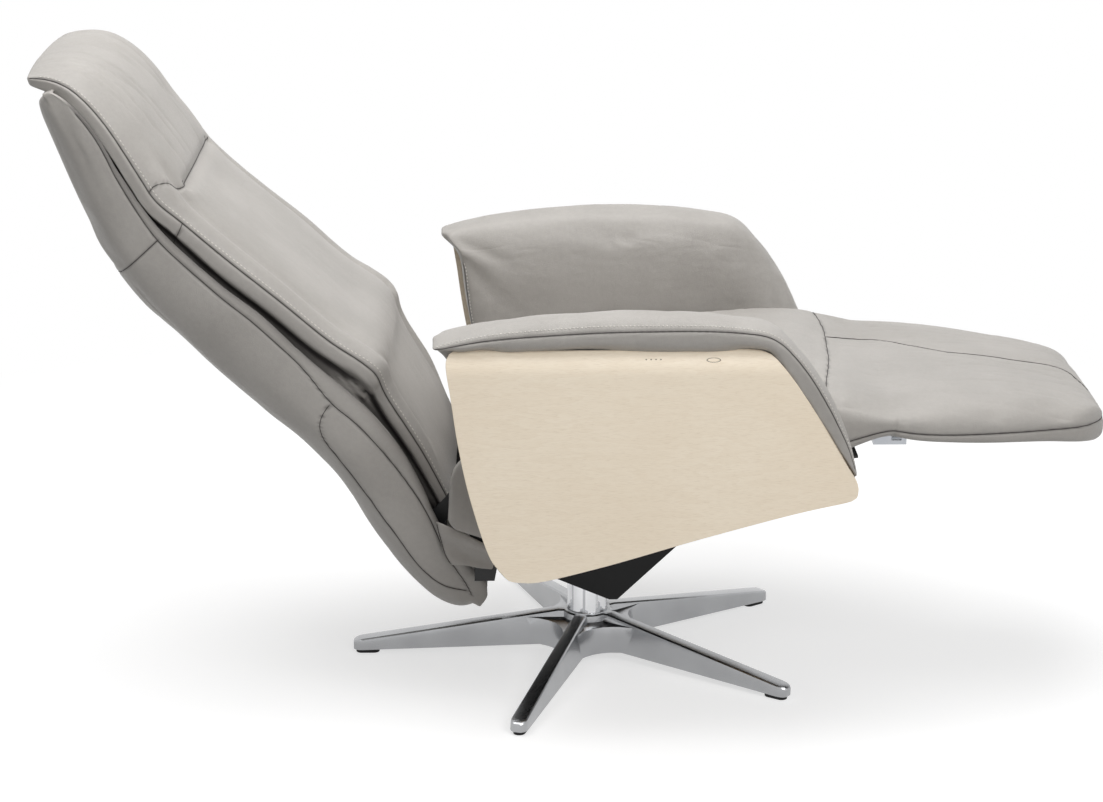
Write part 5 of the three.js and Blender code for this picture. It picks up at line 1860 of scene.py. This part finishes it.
@dataclass
class SeatLeather(LongForm):
    """The seat cushion, its rolled front edge and the leg rest's pad, under one run of leather.

    Attributes:
        size: The flat box's size.
        cross: The seam across the seat in X and Y, from the near side to the far one.
        runner: The seam that runs forward in X and Y.
        hinge: The X of the leg rest's hinge.
    """

    rows: Points = (
        (-176, 404, -176, 338, 216, 3),
        (-158, 412, -158, 340, 222, 6),
        (-89, 424, -89, 346, 226, 7),
        (-45, 431, -45, 350, 250, 7),
        (42, 445, 42, 358, 261, 7),
        (161, 460, 161, 368, 262, 6),
        (276, 467, 276, 376, 262, 5),
        (330, 465, 330, 382, 262, 4),
        (368, 457, 368, 397, 262, 3),
        (403, 449.5, 403, 409, 262, 3),
        (420, 447.5, 420, 408, 262, 3),
        (440, 446, 440, 404, 261, 6),
        (500, 443, 500, 396, 250, 8),
        (580, 437, 580, 390, 231, 8),
        (640, 431, 640, 386, 212, 7),
        (695, 425, 695, 378, 187, 5),
        (717, 421, 717, 373, 160, 2),
        (734, 414, 733, 373, 130, 0),
    )
    size: tuple[float, float, float] = (925.0, 500.0, 60.0)
    cross: Points = ((318, -262), (328, -180), (345, -54), (355, 84), (358, 150), (352, 262))
    runner: Points = (
        (355, 84), (380, 98), (421, 111), (444, 103), (500, 62), (535, 43), (604, 38), (701, 17), (718, -27),
        (731, -60),
    )
    hinge: float = 413.0

    def share(self, x: float) -> float:
        """The share of the length at an X."""
        return self.line.share_near((x, float(np.interp(x, *np.array(self.rows).T[:2]))))

    def on_top(self, x: float, y: float) -> tuple[float, float, float]:
        """Finds a place on top of the leather.

        Args:
            x: The place's X.
            y: The place's Y.

        Returns:
            The point on the flat box.
        """
        long, wide, thick = self.size
        half = float(self.line.at(self.share(x))[0][4])
        return self.share(x) * long, (y / half + 1) * wide / 2, thick

    def piece(self) -> SoftPiece:
        """Lays out the flat box with its seams.

        Returns:
            The seat's leather, ready to start.
        """
        long, wide, thick = self.size
        cross = [self.on_top(x, y) for x, y in Line(self.cross).at(np.linspace(0.01, 0.99, 60))]
        runner = [self.on_top(x, y) for x, y in Line(self.runner).at(np.linspace(0, 1, 90))]
        fold = [(x - 14 - 5 * math.sin(3 * i / 60), y, z) for i, (x, y, z) in enumerate(cross)]
        seams = [Seam(cross, depth=1.1, width=3.4)]
        seams.append(Seam(fold[4:40], depth=1.4, width=5, shown=False, holds=False))
        seams.append(Seam(runner, depth=1.4))
        knee = self.share(self.hinge) * long
        nose = self.share(300) * long
        edge = [(nose, 12), (knee - 14, 14), (knee, 17), (knee + 14, 17), (knee + 70, 17), (long * 0.8, 20)]
        edge += [(long * 0.9, 26), (long, 38)]
        for y in (0, wide):
            seams.append(Seam([(x, y, z) for x, z in Line(edge, 1).at(np.linspace(0, 1, 90))], depth=1.5))
            seams.append(Seam([(knee + z / 4, y, z) for z in np.linspace(0, 40, 10)], 2.6, 5, shown=False))
        seams.append(Seam([(long, y, 38) for y in np.linspace(0, wide, 40)], depth=1.6))
        return SoftPiece(
            name="seat_and_leg_rest_leather",
            size=self.size,
            places=(
                ticks(long, 9, (4, 9), (knee,)),
                ticks(wide, 9, (4, 10, 18)),
                ticks(thick, 6, (3, 8), (17,)),
            ),
            low=(8, 12, 14),
            high=(20, 26, 30),
            bend=Bend(self.line, self.size),
            seams=seams,
            held=self.held,
            wrinkles=self.creases,
            cap=5,
        )

    def held(self, flat: Array) -> Array:
        """What rests on the deck and on the leg rest's board, and doesn't puff.

        Args:
            flat: Points on the flat box.

        Returns:
            Whether each is held.
        """
        long, _, thick = self.size
        on_deck = flat[:, 0] < self.share(self.hinge) * long - 60
        return (flat[:, 2] < 4) | on_deck & (flat[:, 2] < thick * 0.5)

    def creases(self, places: Array, normals: Array) -> Array:
        """Soft unevenness, with creases across the seat and along the leg rest.

        Args:
            places: Places on the surface.
            normals: The surface's normals there.

        Returns:
            How far the leather stands out at each place.
        """
        seat = smooth(-places[:, 0], -400, -330)
        on_seat = -1.3 * seat * ridges(places, np.diag([1 / 30, 1 / 190, 1 / 90]), 6.3, 6)
        on_rest = -0.9 * (1 - seat) * ridges(places, np.diag([1 / 170, 1 / 26, 1 / 60]), 2.3, 6)
        return swell(places, 75, 4.4) + (on_seat + on_rest) * smooth(normals[:, 2], 0, 0.6)


@dataclass
class ArmPad(SideForm):
    """The leather over an arm: a roll over the top and the front, sewn along the outside, its upper edge.

    Attributes:
        crest: Shares of the length, with how far the roll stands above the outer seam there.
        inner: How far the inner face is from the middle.
        outer: How far the leather is from the middle over the wood's outer face.
        hidden: How far its outer face is from the middle behind the wood.
        wood_top: The height of the wood's top.
        wood_corner: The X and Z at which the wood's top turns down to its front edge.
        wood_slope: The direction, in X and Z, that the sloping front edge faces.
        size: The flat box's size: along the arm, up its face, and across it.
    """

    high: Points = (
        (-223, 566), (-155, 578), (-49, 586), (58, 590), (190, 589), (237, 580), (271, 548), (306, 495),
        (338, 432), (350, 394),
    )
    low: Points = ((-150, 330), (-112, 303), (60, 319), (200, 334), (300, 345), (336, 368))
    rear: Points = (
        (-150, 330), (-161, 380), (-174, 430), (-184, 490), (-190, 528), (-203, 549), (-223, 566),
    )
    crest: Points = (
        (0.0, 5), (0.03, 9), (0.1, 14), (0.2, 18), (0.35, 20), (0.5, 17), (0.6, 11), (0.72, 7), (0.85, 7),
        (1.0, 3),
    )
    front: Points = ((336, 368), (346, 376), (351, 384), (350, 394))
    inner: float = 267.0
    outer: float = 367.0
    hidden: float = 355.5
    wood_top: float = 563.0
    wood_corner: tuple[float, float] = (237, 555)
    wood_slope: tuple[float, float] = (0.831, 0.556)
    size: tuple[float, float, float] = (640.0, 230.0, 100.0)

    def piece(self) -> SoftPiece:
        """Lays out the arm's flat box: its length follows the arm, its height the face, its depth the width.

        Returns:
            The arm's leather, ready to start.
        """
        long, high, wide = self.size
        stitches = [Stitching([(x, high, 7.0) for x in np.linspace(4, long - 10, 90)], 5.4)]
        stitches.append(Stitching([(6, y, wide) for y in np.linspace(8, high - 30, 20)], 5.4))
        return SoftPiece(
            name=self.named("arm_cover"),
            size=self.size,
            places=(ticks(long, 9, (4, 9, 15)), ticks(high, 8, (4, 9)), ticks(wide, 8, (4, 9, 16))),
            low=(10, 6, 6),
            high=(12, 84, 34),
            bend=self.bend,
            seams=[
                Seam([(x, high, 0.0) for x in np.linspace(0, long, 90)], depth=1.6),
                Seam([(0, y, wide) for y in np.linspace(0, high - 24, 24)], depth=1.2),
            ],
            stitches=stitches,
            held=self.held,
            wrinkles=self.creases,
            cap=4,
            fill=0.8,
        )

    def held(self, flat: Array) -> Array:
        """Says which flat points lie at the foot or against the wood, and don't puff."""
        return (flat[:, 1] < 14) | (flat[:, 2] < 6)

    def creases(self, places: Array, normals: Array) -> Array:
        """Soft unevenness with shallow creases along the arm."""
        return 0.8 * swell(places, 50, 3.4) - 0.5 * ridges(places, np.diag([1 / 60, 1 / 60, 1 / 16]), 7.3, 6)

    def bend(self, flat: Array) -> Array:
        """Places flat points in the chair's frame.

        Args:
            flat: Points on the flat box.

        Returns:
            Their places.
        """
        long, high, wide = self.size
        along, up, deep = flat[:, 0] / long, flat[:, 1] / high, flat[:, 2] / wide
        plane = self.patch.at(np.clip(along, 0, 1), np.clip(up, 0, 1))
        ahead = self.patch.at(np.clip(along + 0.004, 0, 1), np.clip(up, 0, 1))
        behind = self.patch.at(np.clip(along - 0.004, 0, 1), np.clip(up, 0, 1))
        forward = unit(ahead - behind)
        outward = np.stack([-forward[:, 1], forward[:, 0]], axis=1)
        before = (plane[:, 0] - self.wood_corner[0]) * self.wood_slope[0]
        above = (plane[:, 1] - self.wood_corner[1]) * self.wood_slope[1]
        over = np.maximum(plane[:, 1] - self.wood_top, before + above)
        crown = np.interp(along, *zip(*self.crest)) * np.sin(np.pi * np.clip(deep, 0, 1) ** 0.75)
        plane = plane + outward * (crown * smooth(up, 0.45, 1))[:, None]
        hidden = self.hidden - 12 * smooth(plane[:, 1], 528, 556) * smooth(-plane[:, 0], -245, -225)
        step = (self.outer - hidden) * smooth(over, -1.5, 2.5) * (1 - smooth(deep, 0, 0.6))
        y = hidden + (self.inner - hidden) * deep + step
        return np.stack([plane[:, 0], y * self.side.value, plane[:, 1]], axis=1)


@dataclass
class SeatCorner(SideForm):
    """The upholstered rear corner of the seat's frame.

    Attributes:
        inner: How far its inner face is from the middle.
        size: The flat box's size.
    """

    low: Points = ((-203, 290), (-190, 279), (-160, 268), (-129, 256))
    high: Points = ((-199, 350), (-193, 370), (-172, 390), (-129, 398))
    rear: Points = ((-203, 290), (-199, 350))
    front: Points = ((-129, 256), (-129, 398))
    inner: float = 254.2
    size: tuple[float, float, float] = (74.0, 110.0, 11.0)

    def bend(self, flat: Array) -> Array:
        """Places flat points in the chair's frame."""
        plane = self.patch.at(flat[:, 0] / self.size[0], flat[:, 1] / self.size[1])
        return np.stack([plane[:, 0], self.side.value * (self.inner + flat[:, 2]), plane[:, 1]], axis=1)

    def creases(self, places: Array, normals: Array) -> Array:
        """Soft unevenness."""
        return 0.8 * swell(places, 22, 1.9)

    def piece(self) -> SoftPiece:
        """Lays out the corner's small pad.

        Returns:
            The corner's leather, ready to start.
        """
        return SoftPiece(
            name=self.named("seat_corner_cover"),
            size=self.size,
            places=[ticks(s, 5, (2, 4)) for s in self.size],
            low=(10, 10, 3),
            high=(12, 12, 6),
            bend=self.bend,
            wrinkles=self.creases,
            pressure=0,
            fill=0.8,
        )


def rounded_copy(node: str, width: float, segments: int, degrees: float = 28) -> bpy.types.Object:
    """A copy of a CAD node with its sharp edges rounded.

    Args:
        node: The node's name.
        width: The rounding, in millimetres.
        segments: The rounding's steps.
        degrees: The angle from which an edge counts as sharp.

    Returns:
        The copy.
    """
    source = frame["nodes"][node]
    bm = bmesh.new()
    bm.from_mesh(source.data)
    bmesh.ops.remove_doubles(bm, verts=bm.verts, dist=2e-6)
    bmesh.ops.dissolve_limit(bm, angle_limit=math.radians(1.0), verts=bm.verts, edges=bm.edges)
    sharp = [e for e in bm.edges if len(e.link_faces) == 2 and e.calc_face_angle(0) > math.radians(degrees)]
    bmesh.ops.bevel(
        bm,
        geom=sharp,
        offset=width * MM,
        offset_type="OFFSET",
        segments=segments,
        profile=0.5,
        affect="EDGES",
        material=-1,
        clamp_overlap=True,
    )
    bmesh.ops.triangulate(bm, faces=[f for f in bm.faces if len(f.verts) > 4])
    piece = make_object(f"{node}_finished", bm)
    for material in source.data.materials:
        piece.data.materials.append(material)
    shade_smooth(piece, 35)
    return piece


@dataclass
class HingeFlap(SideForm):
    """The leather flap that leads from the shell's lower edge forward beside the hinge.

    Attributes:
        inner: How far its inner face is from the middle, on average.
        thinner: The leather's thickness as a share of the flat box's.
        wave: How far its folds stand in and out.
        band: How far the band under its upper edge stands out.
        size: The flat box's size.
    """

    low: Points = ((-199, 226), (-180, 225), (-160, 221), (-141, 218))
    high: Points = ((-220, 292), (-196, 281), (-157, 261), (-132, 248))
    rear: Points = ((-199, 226), (-208, 242), (-216, 272), (-220, 292))
    front: Points = ((-141, 218), (-132, 248))
    inner: float = 252.4
    thinner: float = 0.7
    wave: float = 2.0
    band: float = 2.2
    size: tuple[float, float, float] = (84.0, 60.0, 3.0)

    def bend(self, flat: Array) -> Array:
        """Places flat points in the chair's frame, with the leather's folds.

        Args:
            flat: Points on the flat box.

        Returns:
            Their places.
        """
        plane = self.patch.at(flat[:, 0] / self.size[0], flat[:, 1] / self.size[1])
        wave = np.sin((plane[:, 1] + 0.5 * plane[:, 0]) / 6.5) + 0.4 * np.sin(plane[:, 0] / 9)
        band = self.band * smooth(flat[:, 1], 40, 46)
        outward = self.inner + flat[:, 2] * self.thinner + wave * self.wave + band
        return np.stack([plane[:, 0], self.side.value * outward, plane[:, 1]], axis=1)

    def piece(self) -> SoftPiece:
        """Lays out the flap's flat box and its seam.

        Returns:
            The flap, ready to start.
        """
        long, high_side, thick = self.size
        return SoftPiece(
            name=self.named("hinge_flap"),
            size=self.size,
            places=[ticks(long, 4, (1,)), ticks(high_side, 4, (1,)), np.array([0.0, 1.5, 3.0])],
            low=(1.4, 1.4, 1.4),
            high=(1.4, 1.4, 1.4),
            bend=self.bend,
            seams=[Seam([(1.5, y, thick) for y in np.linspace(2, high_side - 2, 20)], depth=0.5, width=1.2)],
            pressure=0,
            fill=0.1,
        )


def seen_directly(tree: bpy.types.NodeTree) -> bpy.types.NodeSocket:
    """Tells the rays that show the studio from those that light the chair.

    Args:
        tree: The material's or the world's nodes.

    Returns:
        1 for a ray from the camera, a gloss or a glass, and otherwise 0.
    """
    rays = tree.nodes.new("ShaderNodeLightPath")
    seen = rays.outputs["Is Camera Ray"]
    for name in ("Is Glossy Ray", "Is Transmission Ray"):
        either = tree.nodes.new("ShaderNodeMath")
        either.operation = "MAXIMUM"
        tree.links.new(seen, either.inputs[0])
        tree.links.new(rays.outputs[name], either.inputs[1])
        seen = either.outputs[0]
    return seen


@dataclass(frozen=True)
class Lamp:
    """A soft rectangular lamp.

    Attributes:
        name: Its name.
        place: Where it hangs, in metres.
        aim: Where it points.
        size: Its width and height.
        power: Its power in watts.
    """

    name: str
    place: tuple[float, float, float]
    aim: tuple[float, float, float]
    size: tuple[float, float]
    power: float

    def hang(self) -> None:
        """Adds the lamp to the scene."""
        data = bpy.data.lights.new(self.name, "AREA")
        data.shape = "RECTANGLE"
        data.size, data.size_y = self.size
        data.energy = self.power
        lamp = bpy.data.objects.new(self.name, data)
        lamp.location = self.place
        lamp.rotation_euler = (Vector(self.aim) - Vector(self.place)).to_track_quat("-Z", "Y").to_euler()
        bpy.context.scene.collection.objects.link(lamp)


@dataclass
class Studio:
    """The floor, the light and the camera.

    Attributes:
        floor_half: Half the floor's width, in metres.
        floor_glow: The light that makes the floor look white under the lamps.
        floor_own: The light that its far part gives to the chair.
        fade: How far from the middle the shadow starts to fade and is gone.
        sky_level: The white world's light on the chair.
        lamps: The lamps.
        lens: The camera's focal length in millimetres, on a sensor 36 mm wide.
        eye: The camera's place, in metres.
        tilt: Its tilt from straight down, in degrees.
        pan: Its turn about the vertical, in degrees.
    """

    floor_half: float = 14.0
    floor_glow: float = 0.62
    floor_own: float = 0.5
    fade: tuple[float, float] = (0.95, 1.9)
    sky_level: float = 0.24
    lamps: tuple[Lamp, ...] = (
        Lamp("overhead_softbox", (-0.3, 0.1, 3.4), (0.0, 0.0, 0.3), (3.2, 3.0), 114),
        Lamp("front_softbox", (1.7, -3.3, 2.9), (0.0, 0.0, 0.4), (2.0, 1.8), 72),
    )
    lens: float = 95.4
    eye: tuple[float, float, float] = (-0.129, -4.112, 1.589)
    tilt: float = 73.74
    pan: float = -1.05

    def build(self) -> None:
        """Builds the studio."""
        self.floor()
        self.world()
        for lamp in self.lamps:
            lamp.hang()
        self.camera()

    def floor(self) -> None:
        """A pale floor that shows white away from the chair, and the chair's soft shadow near it."""
        bm = bmesh.new()
        bmesh.ops.create_grid(bm, x_segments=1, y_segments=1, size=self.floor_half)
        floor = make_object("studio_floor", bm)
        board = NodeBoard("pale_floor")
        board.finish((0.5, 0.5, 0.5, 1), 0.9)
        board.shader_level("Specular IOR Level", 0.1)
        seen = seen_directly(board.tree)
        strengths = (
            board.part(seen, self.floor_glow),
            board.sum(board.part(seen, 1 - self.floor_own), self.floor_own),
        )
        near, far = (board.add("ShaderNodeEmission", {"Color": WHITE, "Strength": s}) for s in strengths)
        both = board.add("ShaderNodeAddShader", {0: board.shader.outputs[0], 1: near.outputs[0]})
        reach = board.add("ShaderNodeVectorMath", {0: board.place}, operation="LENGTH")
        edge = board.ramp(reach.outputs["Value"], *self.fade)
        mix = board.add("ShaderNodeMixShader", {0: edge, 1: both.outputs[0], 2: far.outputs[0]})
        board.wire(mix.outputs[0], board.tree.nodes["Material Output"].inputs["Surface"])
        floor.data.materials.append(board.material)

    def world(self) -> None:
        """A world that looks white, and lights the chair at a lower level."""
        world = bpy.data.worlds.new("studio_world")
        bpy.context.scene.world = world
        world.use_nodes = True
        tree = world.node_tree
        sky = tree.nodes["Background"]
        sky.inputs["Color"].default_value = WHITE
        level = tree.nodes.new("ShaderNodeMapRange")
        level.inputs["To Min"].default_value = self.sky_level
        level.inputs["To Max"].default_value = 1.0
        tree.links.new(seen_directly(tree), level.inputs["Value"])
        tree.links.new(level.outputs["Result"], sky.inputs["Strength"])

    def camera(self) -> None:
        """The photograph's camera."""
        data = bpy.data.cameras.new("photo_camera")
        data.sensor_width = 36.0
        data.lens = self.lens
        data.clip_end = 60
        camera = bpy.data.objects.new("photo_camera", data)
        camera.location = self.eye
        camera.rotation_euler = (math.radians(self.tilt), 0, math.radians(self.pan))
        bpy.context.scene.collection.objects.link(camera)
        bpy.context.scene.camera = camera
        bpy.context.scene.view_settings.view_transform = "Standard"


class Recliner:
    """The whole chair, dressed from the ground up."""

    def __init__(self) -> None:
        """Makes the finishes and dresses the frame."""
        self.finishes = Finishes()
        self.finishes.dress_frame()

    def upholster(self) -> None:
        """Builds every padded piece in one run of the cloth."""
        back = BackCushion().piece()
        shell = BackShell().piece()
        seat = SeatLeather().piece()
        arms = [ArmPad(side).piece() for side in Side]
        corners = [SeatCorner(side).piece() for side in Side]
        flaps = [HingeFlap(side).piece() for side in Side]
        soft = [back, shell, seat, *arms, *corners, *flaps]
        for piece in soft:
            piece.start()
        for step in range(1, PUFF_FRAMES + 1):
            bpy.context.scene.frame_set(step)
        for piece in soft:
            piece.puff()
        bpy.context.scene.frame_set(1)
        for piece in soft:
            piece.sew(self.finishes)
            LOG.info("%s: %d faces", piece.name, len(piece.made.data.polygons))
        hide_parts("back_cushion", "head_cushion")
        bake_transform(back.made)
        self.mount(shell.made, "back", "back_shell")
        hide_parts("seat_cushion", "seat_bullnose", "footrest_pad")
        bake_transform(seat.made)
        for side, arm, corner, flap in zip(Side, arms, corners, flaps):
            self.mount(arm.made, "seat", f"arm_pad_{side.name.lower()}")
            self.mount(corner.made, "seat", f"seat_corner_{side.name.lower()}")
            self.mount(flap.made, "back")

    def mount(self, piece: bpy.types.Object, body: str, *nodes: str) -> None:
        """Puts a piece on a body.

        Args:
            piece: The piece.
            body: The body that it rides on.
            *nodes: The CAD nodes that it stands for.
        """
        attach(piece, body)
        if nodes:
            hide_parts(*nodes)

    def woodwork(self) -> None:
        """Builds the arm panels and the touch marks."""
        for side in Side:
            self.mount(ArmPanel(side).build(self.finishes), "seat", f"arm_panel_{side.name.lower()}")
        self.mount(TouchMarks().build(self.finishes), "seat")
        LOG.info("arm panels and touch marks")

    def metalwork(self) -> None:
        """Rounds the edges of the star base, its glides and the cover under the seat."""
        self.mount(rounded_copy("star_base", 2.2, 3), "base", "star_base")
        self.mount(rounded_copy("under_seat_cover", 3.0, 3), "seat", "under_seat_cover")
        for i in range(1, 6):
            self.mount(rounded_copy(f"glide_{i}", 1.2, 2), "base", f"glide_{i}")
        LOG.info("star base, glides and cover")


def main() -> None:
    """Builds the studio and the chair."""
    logging.basicConfig(level=logging.INFO, format="%(name)s: %(message)s")
    Studio().build()
    chair = Recliner()
    chair.metalwork()
    chair.woodwork()
    chair.upholster()


if __name__ == "__main__":
    main()
